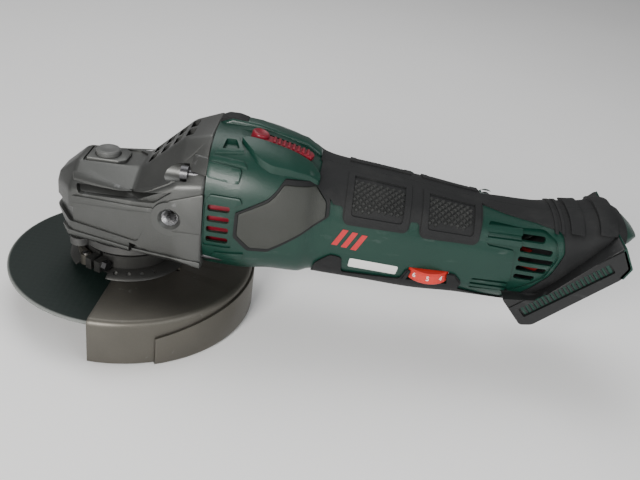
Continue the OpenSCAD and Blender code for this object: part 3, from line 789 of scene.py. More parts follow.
@dataclass
class Housing:
    """Green shells with their vents, stripes, label, pads and soft grips."""

    form: HandleForm
    scatter: Scatter
    wall: float = 2.6
    grip: float = 1.3
    seam: float = 0.06
    front_slots: int = 4
    rear_slots: int = 5
    patches: tuple[tuple[float, float], ...] = ((110.2, 142.2), (147.7, 177.2))
    pad: Outline = ((80.9, 72.2), (95.5, 70.6), (101.6, 64.0), (102, 57.4), (76.5, 39), (67.5, 38.3),
                    (60.8, 44.6), (61, 56.2), (74.6, 64), (77.7, 67.4))
    grip_top: Outline = ((95.8, 92), (95.8, 70.6), (103.8, 64.6), (104.6, 63.2), (109.6, 62.7), (110.0, 57.3),
                         (112, 54.7), (140.5, 53.9), (142.3, 55.8), (142.7, 59.6), (147.2, 59.2),
                         (147.7, 54.8), (149.5, 52.7), (175, 52), (177, 53.8), (178, 63), (178, 92))
    grip_low: Outline = ((96, 0), (99.5, 30.2), (102.4, 33.4), (107.1, 37.2), (112.5, 36.1), (113.6, 25.6),
                         (142.8, 27), (145.2, 34.2), (169.5, 34.7), (173.9, 29.6), (172.5, 24.4), (190, 20.5),
                         (206, 19), (206, 0))
    grip_tail: Outline = ((213, 92), (213, 64), (217.9, 61.7), (219.5, 54.3), (215, 42.1), (202.6, 27.7),
                          (196, 23), (196, 10), (216, 6), (249, 40), (249, 92))
    spine: Outline = ((172, -4), (178, -5.5), (190, -9.4), (205.4, -12.2), (216, -16.5), (216, 16.5),
                      (205.4, 12.2), (190, 9.4), (178, 5.5), (172, 4))
    ridge: Outline = ((44, 80), (44, 86), (50, 88.6), (64, 87.6), (88, 82), (96, 77), (96, 70))
    shoulder: Outline = ((56.5, -14.8), (92, -14.8), (96.5, -17), (97, -21.5), (85, -25.6), (73, -27.2),
                         (66.5, -25.2), (61, -20))
    vent_field: Outline = ((181.4, 62.2), (197.5, 61.0), (209.2, 61.6), (215.3, 58.8), (216.9, 51.2),
                           (212.4, 39.8), (197.6, 28.2), (178, 26.6), (178, 33.6), (196.8, 34.4),
                           (195.4, 51.6), (181.6, 52.5))
    front_notch: Outline = ((44.5, 34.6), (58.4, 35.6), (60.6, 59.6), (44.5, 58.8))
    dial_surround: Outline = ((143.8, 26.8), (146.2, 34), (169, 34.4), (173, 29.4), (171, 25), (145, 23.6))
    label: Outline = ((116.3, 30.6), (140.5, 29.4), (141.1, 34.8), (116.7, 36.2))
    stop: Outline = ((44.1, 84), (44.1, 87.6), (47.5, 89.4), (53, 89.5), (58, 88.2), (58, 84))
    front_pitch: float = 5.75
    rear_pitch: float = 4.8
    vent_foot: float = 38.0
    screw_well: float = 3.5
    screw_boss: float = 4.9
    dial_well: float = 12.6

    def front_vents(self) -> list[bpy.types.Object]:
        """Slots through both sides at the fan."""
        made = []
        for k in range(self.front_slots):
            z = 38.9 + self.front_pitch * k
            slot = [(45.8, z - 2.0), (56.6, z - 1.3), (56.8, z + 2.0), (45.8, z + 1.3)]
            made.append(side_prism(rounded(slot, 1.4), -45, 45))
        return made

    def rear_vents(self) -> list[bpy.types.Object]:
        """Slots at the handle's end, following the curved edge of their field."""
        made = []
        for k in range(self.rear_slots):
            z = self.vent_foot + self.rear_pitch * k
            end = 206.0 + 8.8 * math.sin(math.radians(12 + 36 * k))
            slot = [(198.2, z - 1.5), (end, z - 1.3), (end + 0.6, z + 1.5), (198.2, z + 1.3)]
            made.append(side_prism(rounded(slot, 1.2), -45, 45))
        return made

    def raised(self, height: float, outline: Outline, x0: float, x1: float, above: bool = False,
               bevel: float = 0.5) -> bpy.types.Object:
        """Raised area on both sides, seen from the side or from above on the left only.

        Args:
            height: how far it stands out.
            outline: its outline.
            x0: where the form that it follows starts.
            x1: where that form ends.
            above: reads the outline as seen from above.
            bevel: rounding of its edges.

        Returns:
            The raised solid.
        """
        region = top_prism(outline, 50, 96) if above else side_prism(outline, -60, 60)
        return soften(self.form.skin(-height, 0.6, [region], x0, x1), bevel, 2, 40)

    def shell(self) -> bpy.types.Object:
        """Whole housing wall with every opening cut."""
        outer = self.form.solid(0.0)
        ledge = ((45, 59.3), (47, 63.4), (61.2, 63.8), (62.4, 61.4), (58.4, 59.3))
        plate = ((44.2, 70.8), (59.6, 70.0), (60.4, 76.2), (44.2, 77.4))
        combine(outer, Op.JOIN, [
            soften(side_prism(self.ridge, 0.6, 9), 1.6, 3),
            self.raised(2.7, rounded(self.shoulder, 2.5), 50, 100, True, 1.1),
            self.raised(1.3, rounded(plate, 1.5), 44.2, 66),
            self.raised(0.9, ((46.5, -23.6), (60, -22.4), (56.3, -13.8), (49.2, -13.8)), 44.5, 64, True),
            self.raised(0.8, ((45, -24.6), (60.5, -26.2), (62.5, -28.2), (45, -26.6)), 44.5, 66, True, 0.35),
            self.raised(1.3, rounded(ledge, 0.8), 44.5, 66),
            self.raised(0.8, rounded(((48.5, 27.5), (50.5, 31.4), (64.8, 33.4), (63.6, 29.2)), 0.6), 46, 68),
            *[rod((x, 16, z), (x, 22.2, z), self.screw_boss, 40, self.screw_boss - 0.3)
              for x, z in self.screw_places()],
        ])
        low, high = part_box("switch_slider")
        track = switch_matrix(low, high)
        field_cut = self.form.skin(-3.0, 1.3, [side_prism(rounded(self.vent_field, 1.6), -60, 60)], 174, 222)
        window = self.form.skin(-3.0, 1.3, [top_prism(rounded(((49.3, -21.6), (57.4, -20.8), (55.0, -15.6),
                                                               (50.4, -15.6)), 0.8), 60, 95)], 45, 62)
        notch = self.form.skin(-3.0, 0.7, [side_prism(rounded(self.front_notch, 1.2), -60, 60)], 44.2, 66)
        combine(outer, Op.CUT, [self.form.solid(self.wall, 43.0, 251.0),
                                track_box(track, (-9, -5.4, 0), (41, 5.4, 20)), field_cut, window, notch,
                                self.dial_bore(0.5), *self.front_vents(), *self.rear_vents(),
                                *self.screw_bores(19.0, self.screw_well),
                                side_prism(Foot().outline, -32, 32)])
        slats = [side_prism(((181, z - 1.15), (198.4, z - 1.15), (198.4, z + 1.15), (181, z + 1.15)), -60, 60)
                 for z in (54.9, 59.6)]
        slats += [side_prism(((178, z - 0.9), (196, z - 0.5), (196, z + 1.3), (178, z + 0.9)), -60, 60)
                  for z in (28.7, 31.8)]
        combine(outer, Op.JOIN, [soften(self.form.skin(-0.1, 1.5, slats, 176, 202), 0.4, 2, 40)])
        return outer

    def dial_bore(self, margin: float) -> bpy.types.Object:
        """Round hole for the speed dial, longer than the dial by a margin at both ends."""
        low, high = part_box("speed_dial")
        x, y, _ = (low + high) / 2 / MM
        return rod((x, y, low.z / MM - margin), (x, y, high.z / MM + margin), self.dial_well, 64)

    def screw_bores(self, y: float, radius: float) -> list[bpy.types.Object]:
        """Round cuts over the housing screws, from y outwards through the right side."""
        return [rod((x, y, z), (x, 45, z), radius) for x, z in self.screw_places()]

    @staticmethod
    def screw_places() -> list[tuple[float, float]]:
        """Places (x, z) of the housing screws, read from the CAD screws' own solids."""
        node = frame["nodes"]["housing_screws"]
        co = np.array([v.co for v in node.data.vertices]) / MM
        heads = co[co[:, 1] > 19.5]
        made: list[tuple[float, float]] = []
        for x, _, z in heads:
            if all(math.hypot(x - a, z - b) > 8 for a, b in made):
                near = heads[np.hypot(heads[:, 0] - x, heads[:, 2] - z) < 8]
                middle = (near.min(0) + near.max(0)) / 2
                made.append((float(middle[0]), float(middle[2])))
        return made

    def build_shells(self) -> None:
        """Makes the two green halves with a fine seam between them."""
        whole = self.shell()
        right = duplicate(whole, "right_shell")
        whole.name = "left_shell"
        combine(whole, Op.KEEP, [side_prism(((40, 0), (260, 0), (260, 100), (40, 100)), -60, -self.seam)])
        combine(right, Op.KEEP, [side_prism(((40, 0), (260, 0), (260, 100), (40, 100)), self.seam, 60)])
        dress(whole, "housing_green", "housing", ["left_housing"])
        dress(right, "housing_green", "housing", ["right_housing"])

    def grip_regions(self, y0: float, y1: float) -> list[bpy.types.Object]:
        """Areas that the soft overmould covers."""
        made = [side_prism(rounded(o, 1.6), y0, y1) for o in (self.grip_top, self.grip_low, self.grip_tail)]
        near, far = (y0, -4.0) if y0 < 0 else (4.0, y1)
        middle = (81.5, 55.5)
        border = [(middle[0] + (x - middle[0]) * 1.075, middle[1] + (z - middle[1]) * 1.11)
                  for x, z in self.pad]
        spine = top_prism([(x, y) for x, y in self.spine], 45, 96)
        keep = side_prism(((40, 0), (260, 0), (260, 100), (40, 100)), *sorted((y0, y1)))
        return made + [side_prism(rounded(border, 1.0), near, far), combine(spine, Op.KEEP, [keep])]

    def build_grips(self) -> None:
        """Makes the soft overmould of each side, in two steps so that its edge is rounded."""
        low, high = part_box("switch_slider")
        track = switch_matrix(low, high)
        for side, node in ((Side.LEFT, "left_grip"), (Side.RIGHT, "right_grip")):
            y0, y1 = (-60.0, -self.seam) if side is Side.LEFT else (self.seam, 60.0)
            skin = self.form.skin(-0.95, 0.15, self.grip_regions(y0, y1), 56, 249)
            frames = [self.patch_region(x0, x1, side, 0.0) for x0, x1 in self.patches]
            surround = side_prism(rounded(self.dial_surround, 1.0), y0, y1)
            extra = [self.form.skin(-1.6, 0.3, frames, 106, 182),
                     self.form.skin(-1.5, 0.3, [surround], 140, 176)]
            for x0, x1, z0, rise in ((221.0, 227.5, 63.5, 2.3), (234.5, 243.0, 65.5, 2.6),
                                     (213.5, 215.1, 62, 1.6), (216.7, 218.3, 62.5, 1.6)):
                block = side_prism(((x0, z0), (x1, z0), (x1, 96), (x0, 96)), y0, y1)
                extra.append(self.form.skin(-rise, 0.3, [block], 210, 248))
            combine(skin, Op.JOIN, [soften(piece, 0.8, 3, 50) for piece in extra])
            cuts = [side_prism(Foot().outline, -32, 32), track_box(track, (-9, -6.4, -4), (41, 6.4, 20)),
                    self.dial_bore(1.0), *self.screw_bores(14.0, self.screw_boss + 0.05)]
            cuts.append(self.form.skin(-3, 0.6, [side_prism(rounded(self.pad, 1.2), *(
                (y0, -4) if y0 < 0 else (4, y1)))], 56, 106))
            for x0, x1 in self.patches:
                cuts.append(self.form.skin(-3, -0.75, [self.patch_region(x0, x1, side, 3.0)], x0 - 4, x1 + 4))
            combine(skin, Op.CUT, cuts)
            skin.name = node + "_skin"
            dress(skin, "soft_black", "housing", [node])
            self.build_pad(side)
            self.build_knurl(side)

    def patch_region(self, x0: float, x1: float, side: Side, margin: float) -> bpy.types.Object:
        """Prism over one textured field of the grip, shrunk by a margin."""
        s = side.value
        low = 56.7 - 0.055 * (x0 - 110) + margin * 0.85
        a, b = x0 + margin, x1 - margin
        outline = rounded(((a + 0.6, low), (a, 84), (b, 84), (b - 0.2, low - 1.2)), 2.0)
        return side_prism(outline, *((-60, -6.5 - margin) if s < 0 else (6.5 + margin, 60)))

    def build_pad(self, side: Side) -> None:
        """Makes the eight-sided pad beside the motor."""
        y = (-60.0, -4.0) if side is Side.LEFT else (4.0, 60.0)
        name = f"{side.name.lower()}_pad"
        grown = [(81.5 + (x - 81.5) * 0.985, 55.5 + (z - 55.5) * 0.98) for x, z in self.pad]
        pad = self.form.skin(-1.25, 0.45, [side_prism(rounded(grown, 1.0), *y)], 56, 106)
        dress(soften(pad, 0.7, 2, 50), "pad_grey", "housing", [f"{side.name.lower()}_side_pad"])
        pad.name = name

    def build_knurl(self, side: Side) -> None:
        """Covers both fields of a grip with raised diamonds."""
        places = []
        step = 3.1
        for x0, x1 in self.patches:
            low = 56.7 - 0.055 * (x0 - 110) + 4.0
            first, last_x = x0 + 4.2, x1 - 4.0
            rows = int((last_x - first) / step * 2)
            for row in range(rows + 1):
                x = first + row * step / 2
                wanted = step * (0.5 if row % 2 else 0.0)
                angle = 90.0 - side.value * 22.0
                travelled = 0.0
                here = self.form.point(x, angle)
                while here.z > low:
                    if abs(here.y) > 10.8 and travelled >= wanted:
                        normal = self.form.normal(x, angle)
                        places.append((tuple(here + normal * 0.72), basis(Vector((1, 0, 0)), normal)))
                        wanted = travelled + step
                    angle -= side.value * 0.5
                    step_to = self.form.point(x, angle)
                    travelled += (step_to - here).length
                    here = step_to
        r, top, h = 1.45, 0.62, 0.75
        ring = [[(r * math.cos(t) * k, r * math.sin(t) * k, z)
                 for t in (0, math.pi / 2, math.pi, 3 * math.pi / 2)]
                for k, z in ((1.0, -0.2), (1.0, 0.05), (top * 0.75, h))]
        stud = loft("diamond", ring)
        made = self.scatter.make(f"{side.name.lower()}_knurl", stud, places, "knurl_black")
        dress(made, "knurl_black", "housing")

    def build_bump(self) -> None:
        """Soft stop on the ridge's front end."""
        bump = side_prism(rounded(self.stop, 1.0), 1.6, 8, name="ridge_stop")
        dress(soften(bump, 0.8, 3), "soft_black", "housing")

    def build_marks(self) -> None:
        """Three plain stripes and a blank label on the left side."""
        stripes = []
        for k in range(3):
            x, z = 106.6 + 4.8 * k, 43.0 - 0.8 * k
            stripes.append(side_prism(((x, z), (x + 2.8, z - 0.2), (x + 7.3, z + 8.5), (x + 4.6, z + 8.7)),
                                      -60, -10))
        stripe = self.form.skin(-0.14, 0.1, stripes, 104, 132)
        stripe.name = "stripes"
        dress(stripe, "paint_red", "housing")
        label = self.form.skin(-0.12, 0.1, [side_prism(rounded(self.label, 1.0), -60, -10)], 112, 146)
        label.name = "label_plate"
        dress(label, "label_pale", "housing")

    def build(self) -> None:
        """Builds the whole housing."""
        self.build_shells()
        self.build_grips()
        self.build_marks()
        self.build_bump()


@dataclass
class GearHead:
    """Faceted die-cast gear case with its ribs, recesses, vents and side-handle bosses."""

    stations: tuple[tuple[float, ...], ...] = (
        (-35, 9, 27, 46, 6, 50), (-24, 24, 21, 50, 9, 60), (8, 31, 21, 52, 10, 60.5),
        (30, 33.5, 21, 64, 13, 81), (44, 34, 18, 66, 16, 86))
    hole: tuple[float, float] = (28.0, 47.0)
    hole_r: float = 4.0

    def form(self, inset: float) -> bpy.types.Object:
        """Faceted solid, pulled in by an inset."""
        rings = []
        for x, w, low, shoulder, top_w, top in self.stations:
            at = x + (inset if x < 0 else 0)
            w, low, top = w - inset, low + inset, top - inset
            rings.append([(at, w, shoulder - inset * 0.4), (at, top_w, top), (at, -top_w, top),
                          (at, -w, shoulder - inset * 0.4), (at, -w, low + 5), (at, -w + 5, low),
                          (at, w - 5, low), (at, w, low + 5)])
        return loft("case_form", rings)

    def layer(self, outer: float, inner: float, regions: Sequence[bpy.types.Object]) -> bpy.types.Object:
        """Layer of the case between two insets, kept where the regions lie."""
        region = regions[0]
        combine(region, Op.JOIN, regions[1:])
        inside = self.form(inner)
        inside.data.transform(Matrix.Translation((0.001, 0, 0)))
        return combine(combine(self.form(outer), Op.CUT, [inside]), Op.KEEP, [region])

    def build(self) -> None:
        """Builds the case and its thread inserts."""
        case = soften(self.form(0.0), 1.7, 3, 12)
        plate = ((-20.6, -7.8), (-4, -7.8), (-0.6, -5), (-0.6, 5), (-4, 7.8), (-20.6, 7.8))
        strip = [(-24.5, -15.8), (-10, -19.4), (8, -25.2), (20.5, -27.2), (31, -29.5), (30, -31), (19, -30.2),
                 (8, -28), (-10, -23.4), (-23, -19.6)]
        lug = ((22, 40), (43.9, 41), (43.9, 63), (36, 60), (27, 56.5))
        joins = [
            (-1.0, side_prism(rounded(((-23, 43.4), (20, 48.6), (22, 51.2), (-22, 47.4)), 0.8), -50, 50)),
            (-1.3, side_prism(rounded(((36, 71), (43.9, 70.8), (43.9, 77.4), (36, 77)), 1.0), -50, 50)),
            (-0.8, side_prism(rounded(((-28, 23.8), (43.9, 21.8), (43.9, 25.4), (-29, 28)), 0.6), -50, 50)),
            (-0.8, side_prism(rounded(lug, 1.2), -50, 50)),
            (-0.9, top_prism(strip, 45, 95)),
            (-0.9, top_prism([(x, -y) for x, y in strip], 45, 95)),
        ]
        combine(case, Op.JOIN, [soften(self.layer(rise, 1.0, [region]), 0.5, 2, 40)
                                for rise, region in joins])
        for s in (-1, 1):
            boss = rod((self.hole[0], s * 24, self.hole[1]), (self.hole[0], s * 34.2, self.hole[1]), 10.2, 64,
                       8.9)
            combine(case, Op.JOIN, [boss])
        gap = ((-21.6, -9.6), (3, -9.6), (7.5, -6), (7.5, 6), (3, 9.6), (-21.6, 9.6))
        combine(case, Op.CUT, [self.layer(-3, 1.1, [top_prism(rounded(gap, 0.8), 52, 90)])])
        island = self.layer(-0.6, 1.6, [top_prism(rounded(plate, 0.8), 52, 90)])
        combine(case, Op.JOIN, [soften(island, 0.5, 2, 40)])
        cuts = [self.layer(-3, 2.3, [side_prism(rounded(((-21, 52.4), (-18.5, 48.9), (20, 53.4), (29, 61.2),
                                                         (21, 59), (8, 54.9)), 0.9), -50, 50)]),
                self.layer(-3, 0.8, [side_prism(rounded(((-44, 33.5), (12, 30.5), (15.6, 38), (14, 43.8),
                                                         (-44, 38.8)), 1.5), -50, 50)])]
        for x in (13.2, 19.2, 25.2, 31.2):
            for y in (-5.6, 5.6):
                vent = ((x - 1.9, y - 4.5), (x + 1.9, y - 4.5), (x + 1.9, y + 4.5), (x - 1.9, y + 4.5))
                cuts.append(self.layer(-3, 3.2, [top_prism(rounded(vent, 1.2), 55, 95)]))
        cuts.append(rod((0, 0, 10), (0, 0, 46.6), 22.5, 72))
        cuts.append(rod((41.5, 0, 50), (50, 0, 50), 26, 72))
        cuts.append(rod((20, 0, 50), (50, 0, 50), 11, 48))
        button_low, button_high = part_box("lock_button")
        middle = (button_low + button_high) / 2 / MM
        cuts.append(rod((middle.x, middle.y, 52), (middle.x, middle.y, 80), 6.5, 56))
        coil_low, coil_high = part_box("lock_spring")
        coil_r = (coil_high.x - coil_low.x) / 2 / MM + 0.4
        cuts.append(rod((middle.x, middle.y, 45), (middle.x, middle.y, 60), coil_r, 40))
        cuts.append(rod((0, 0, 40), (0, 0, 52.8), 7.9, 48))
        for s in (-1, 1):
            x, z = self.hole
            cuts.append(rod((x, s * 20, z), (x, s * 60, z), self.hole_r + 0.1, 48))
            cuts.append(rod((x, s * 32.4, z), (x, s * 35, z), self.hole_r, 48, self.hole_r + 2.2))
            for z in (69.0, 26.0):
                cuts.append(rod((14 if z > 50 else 8, s * 27, z), (35, s * 27, z), 5.0, 40))
        combine(case, Op.CUT, cuts)
        case.name = "cast_case"
        dress(case, "die_cast", "housing", ["gear_case"], angle=24)
        for s in (-1, 1):
            self.build_insert(s)

    def build_insert(self, s: int) -> None:
        """Threaded bushing in a side-handle hole, with its thread cut as rings."""
        pitch, r = 1.25, self.hole_r + 0.06
        profile = [(r + 0.02, -6.0), (r + 0.02, 5.6)]
        for k in range(9):
            z = 5.6 - k * pitch
            profile += [(r - 0.08, z), (r - 0.62, z - pitch / 2)]
        profile.append((r - 0.08, -5.65))
        ring = lathe(f"thread_bush_{'left' if s < 0 else 'right'}", profile, steps=48)
        turn = Matrix.Rotation(math.radians(90 * s), 4, "X")
        place = Matrix.Translation((self.hole[0] * MM, s * 26.8 * MM, self.hole[1] * MM))
        ring.data.transform(place @ turn)
        dress(ring, "steel", "housing")


@dataclass
class Foot:
    """Inclined battery foot with rails, ribbed green stripes and a bevelled rim."""

    outline: Outline = ((194, 28), (206, 14.5), (212, 15.5), (247, 48.5), (250, 55), (243.5, 66), (211, 30))
    half: float = 31.0

    def along(self, t: float, across: float) -> tuple[float, float]:
        """Point (x, z) on the foot's side: t from 0 at the front to 1 at the back."""
        a, b = Vector((205.5, 22.5)), Vector((241.0, 54.5))
        d = (b - a).normalized()
        p = a.lerp(b, t) + Vector((-d.y, d.x)) * across
        return (p.x, p.y)

    def band(self, t0: float, t1: float, low: float, high: float) -> list[tuple[float, float]]:
        """Four corners of a strip along the side."""
        return [self.along(t0, low), self.along(t1, low), self.along(t1, high), self.along(t0, high)]

    def build(self, scatter: Scatter) -> None:
        """Builds the block, its stripes and their ribs."""
        block = soften(side_prism(rounded(self.outline, 1.5, 3), -self.half, self.half), 1.1, 3, 40)
        cuts = [side_prism(((203, 24), (214, 10), (262, 55), (250, 66.3)), -23, 23),
                side_prism(((206, 16.5), (212, 8), (262, 55), (256, 62)), -26.5, 26.5)]
        for s in (-1, 1):
            y = sorted((s * (self.half - 1.6), s * (self.half + 5)))
            cuts.append(side_prism(rounded(self.band(-0.02, 1.0, -3.4, 2.4), 1.0), *y))
            y = sorted((s * (self.half - 0.7), s * (self.half + 5)))
            cuts.append(side_prism(self.band(-0.3, 1.2, 5.2, 6.0), *y))
        combine(block, Op.CUT, cuts)
        block.name = "foot_block"
        dress(block, "black_plastic", "housing", ["battery_foot"])
        for s in (-1, 1):
            side = "left" if s < 0 else "right"
            y = sorted((s * (self.half - 1.9), s * (self.half - 1.1)))
            stripe = side_prism(rounded(self.band(0.0, 0.98, -3.1, 2.1), 0.9), *y, name=f"foot_stripe_{side}")
            dress(stripe, "housing_green", "housing")
            d = Vector(self.along(1, 0)) - Vector(self.along(0, 0))
            turn = basis(Vector((d.x, 0, d.y)), Vector((0, s, 0)))
            places = []
            for k in range(20):
                x, z = self.along(0.04 + 0.047 * k, -0.5)
                places.append(((x, s * (self.half - 1.0), z), turn))
            rib = loft("rib", [[(-0.5 * q, -2.1 * q, z), (0.5 * q, -2.5 * q, z), (0.5 * q, 2.1 * q, z),
                                (-0.5 * q, 2.5 * q, z)] for q, z in ((1.0, -0.3), (1.0, 0.3), (0.7, 0.6))])
            dress(scatter.make(f"foot_ribs_{side}", rib, places, "black_plastic"), "black_plastic", "housing")
        strip = ((244.3, 66.0), (250.6, 55.0), (247.8, 48.8), (245.9, 49.6), (248.4, 55), (243.2, 64.4))
        tail = side_prism(rounded(strip, 0.5), -self.half, self.half, name="foot_end_strip")
        dress(tail, "housing_green", "housing")
        carrier = side_prism(((203.6, 25.0), (243, 60.5), (242, 62.0), (202.8, 26.8)), -22.6, 22.6,
                             name="terminal_carrier")
        dress(carrier, "black_plastic", "housing")


@dataclass
class Guard:
    """Guard shell with a rolled shoulder, and the clip-on cutting cover."""

    radius: float = 66.5
    plate_z: float = 5.0
    drop: float = 19.5
    sheet: float = 1.4
    shoulder: float = 3.0
    start: float = -92.0
    span: float = 180.0
    neck: float = 23.4

    def build(self) -> None:
        """Builds both sheets."""
        r, t, z, b = self.radius, self.sheet, self.plate_z, self.shoulder
        outer = [(self.neck, z), (r - b, z), *arc(r - b, z - b, b, 90, 0, 8), (r, -self.drop + 0.4),
                 (r - 0.4, -self.drop)]
        inner = [(r - t + 0.3, -self.drop), (r - t, -self.drop + 0.3), *arc(r - b, z - b, b - t, 0, 90, 8),
                 (self.neck, z - t)]
        shell = soften(lathe("guard_sheet", outer + inner, self.start, self.span, 120), 0.35, 2, 50)
        rivet_holes = ((29, -12, 1.6), (33, -4, 1.1))
        combine(shell, Op.CUT, [rod((x, y, 0), (x, y, 9), hole) for x, y, hole in rivet_holes])
        dress(shell, "guard_steel", "guard", ["guard_shell"], angle=40)
        lip = self.neck + 0.02
        section = [(lip, 5.05), (31, 5.05), (29.6, 6.2), (25.4, 8.0), (lip, 8.0)]
        flare = lathe("collar_flare", section, -98, 322, 120)
        holes = [rod((26 * math.cos(a), 26 * math.sin(a), 6.0), (30 * math.cos(a), 30 * math.sin(a), 10),
                     1.15, 24)
                 for a in (math.radians(-90 + 14 * k) for k in range(4))]
        dress(combine(soften(flare, 0.3, 2, 50), Op.CUT, holes), "collar_metal", "guard")
        low, inside = -self.drop - 1.4, self.radius + 0.12
        out = inside + 1.15

        def lift(angle: float, radius: float, height: float) -> float:
            """Lets the cover's upper edge climb from its ends towards its middle."""
            if height < -10:
                return height
            return 1.9 - 6.5 * (abs(angle) / 64.0) ** 2.2

        profile = [(inside, low + 2.4), *arc(inside - 2.2, low + 3.4, 2.2, -8, -90, 5)[1:], (34, low + 1.2),
                   (34, low), *arc(out - 2.2, low + 2.2, 2.2, -90, 0, 6), (out, 2), (inside, 2)]
        cover = lathe("cover_sheet", profile, -64, 128, 96, lift)
        dress(soften(cover, 0.3, 2, 50), "guard_steel", "guard", ["cutting_cover"], angle=40)


@dataclass
class Disc:
    """Cutting disc with a bore ring and a slightly rounded rim."""

    radius: float = 62.5
    bore: float = 11.1

    def build(self) -> None:
        """Builds the disc and its bore ring."""
        low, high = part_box("cutting_disc")
        z0, z1, r = low.z / MM, high.z / MM, self.radius
        profile = [(13.0, z0), (r - 0.5, z0), (r, z0 + 0.4), (r, z1 - 0.4), (r - 0.5, z1), (13.0, z1)]
        dress(lathe("disc_body", profile, steps=160), "disc_bond", "drive_spindle", ["cutting_disc"])
        ring = [(self.bore, z0), (15.0, z0), (15.0, z1), (self.bore, z1)]
        ring = [(rr, zz + (0.12 if zz > 0 else -0.12)) for rr, zz in ring]
        dress(lathe("disc_bore_ring", ring, steps=72), "steel", "drive_spindle")


@dataclass
class Controls:
    """Slide switch, speed dial with its digits, and the lock button."""

    scatter: Scatter

    def build_switch(self) -> None:
        """Builds the red slider: a round knob and a ribbed tail."""
        low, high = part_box("switch_slider")
        track = switch_matrix(low, high)
        spin = track.to_3x3()
        place = Matrix.Translation(track.translation * MM) @ spin.to_4x4()
        knob = lathe("slider_knob", [(0.001, 0.3), (4.3, 0.3), (4.3, 3.2), *arc(3.2, 3.4, 1.1, 0, 80, 5),
                                     (2.4, 4.1),
                                     (0.001, 3.7)], steps=56)
        knob.data.transform(place @ Matrix.Translation((8 * MM, 0, 0)))
        tail = top_prism(rounded(((6, -3.6), (34.6, -3.4), (36, 0), (34.6, 3.4), (6, 3.6)), 1.0), 0.3, 2.7,
                         "slider_tail")
        tail.data.transform(place)
        combine(knob, Op.JOIN, [soften(tail, 0.5, 2)])
        knob.name = "slider_body"
        dress(knob, "signal_red", "power_switch", ["switch_slider"])
        rib = loft("rib", [[(-0.62 * q, -3.1 * q, z), (0.62 * q, -3.1 * q, z), (0.62 * q, 3.1 * q, z),
                            (-0.62 * q, 3.1 * q, z)] for q, z in ((1.0, -0.3), (1.0, 0.6), (0.72, 1.0))])
        places = [(tuple(track @ Vector((15.2 + 2.45 * k, 0, 2.7))), spin) for k in range(8)]
        dress(self.scatter.make("slider_ribs", rib, places, "signal_red"), "signal_red", "power_switch")

    def build_dial(self) -> None:
        """Builds the speed dial with grip notches and raised digits."""
        low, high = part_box("speed_dial")
        centre = (low + high) / 2 / MM
        r, z0, z1 = (high.x - low.x) / 2 / MM, low.z / MM, high.z / MM
        wheel = lathe("dial_wheel", [(2.6, z0), (r - 1.0, z0), (r - 0.2, z0 + 0.8), (r - 0.2, z1 - 0.8),
                                     (r - 1.0, z1),
                                     (2.6, z1)], steps=96)
        wheel.data.transform(Matrix.Translation((centre.x * MM, centre.y * MM, 0)))
        notches = []
        for k in range(36):
            a = math.radians(10 * k + 5)
            x, y = centre.x + (r + 0.15) * math.cos(a), centre.y + (r + 0.15) * math.sin(a)
            notches.append(rod((x, y, z0 - 1), (x, y, z0 + 1.7), 0.62, 10))
        combine(wheel, Op.CUT, notches)
        dress(wheel, "dial_red", "dial", ["speed_dial"])
        for k in range(6):
            self.build_digit(str(6 - k), math.radians(-90 + 34 * (k - 1)), centre, r - 0.2)

    def build_digit(self, text: str, angle: float, centre: Vector, radius: float) -> None:
        """Raises one digit on the dial's rim."""
        curve = bpy.data.curves.new("digit", "FONT")
        curve.body = text
        curve.size = 3.6 * MM
        curve.extrude = 0.12 * MM
        curve.align_x = "CENTER"
        curve.align_y = "CENTER"
        source = bpy.data.objects.new("digit_source", curve)
        bpy.context.scene.collection.objects.link(source)
        bpy.context.view_layer.update()
        mesh = bpy.data.meshes.new_from_object(source.evaluated_get(bpy.context.evaluated_depsgraph_get()))
        bpy.data.objects.remove(source)
        out = Vector((math.cos(angle), math.sin(angle), 0))
        turn = Matrix((Vector((0, 0, 1)).cross(out), Vector((0, 0, 1)), out)).transposed().to_4x4()
        spot = Vector((centre.x, centre.y, centre.z + 0.5)) + out * radius
        mesh.transform(Matrix.Translation(spot * MM) @ turn)
        digit = bpy.data.objects.new(f"dial_digit_{text}", mesh)
        bpy.context.scene.collection.objects.link(digit)
        dress(digit, "digit_pale", "dial")

    def build_lock(self) -> None:
        """Builds the spindle lock's button with a dished top."""
        low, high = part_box("lock_button")
        centre = (low + high) / 2 / MM
        z0, z1 = low.z / MM, high.z / MM
        profile = [(4.9, z0), (6.1, z0), (6.1, z1 - 1.2), *arc(5.0, z1 - 1.1, 1.1, 0, 90, 5), (3.6, z1 - 0.1),
                   (2.0, z1 - 0.5), (0.001, z1 - 0.6), (0.001, z1 - 2.6), (4.9, z1 - 2.6)]
        button = lathe("lock_cap", profile, steps=64)
        button.data.transform(Matrix.Translation((centre.x * MM, centre.y * MM, 0)))
        dress(button, "button_grey", "spindle_lock", ["lock_button"])

    def build(self) -> None:
        """Builds every control."""
        self.build_switch()
        self.build_dial()
        self.build_lock()


CARRIED_FINISHES = {"guard_collar": "collar_metal", "clamp_lever": "guard_steel"}


def dress_cad_nodes(replaced: set[str]) -> None:
    """Gives each CAD node that stays its procedural finish.

    Args:
        replaced: nodes that a visual piece stands for.
    """
    slots = {s["node"]: s["material_slot"] for s in frame["record"]["subparts"]}
    for name, node in frame["nodes"].items():
        if name in replaced:
            continue
        finish = material(CARRIED_FINISHES.get(name, slots[name]))
        if node.material_slots:
            for holder in node.material_slots:
                holder.material = finish
        else:
            node.data.materials.append(finish)
        log.info("%s keeps its CAD mesh in %s", name, slots[name])


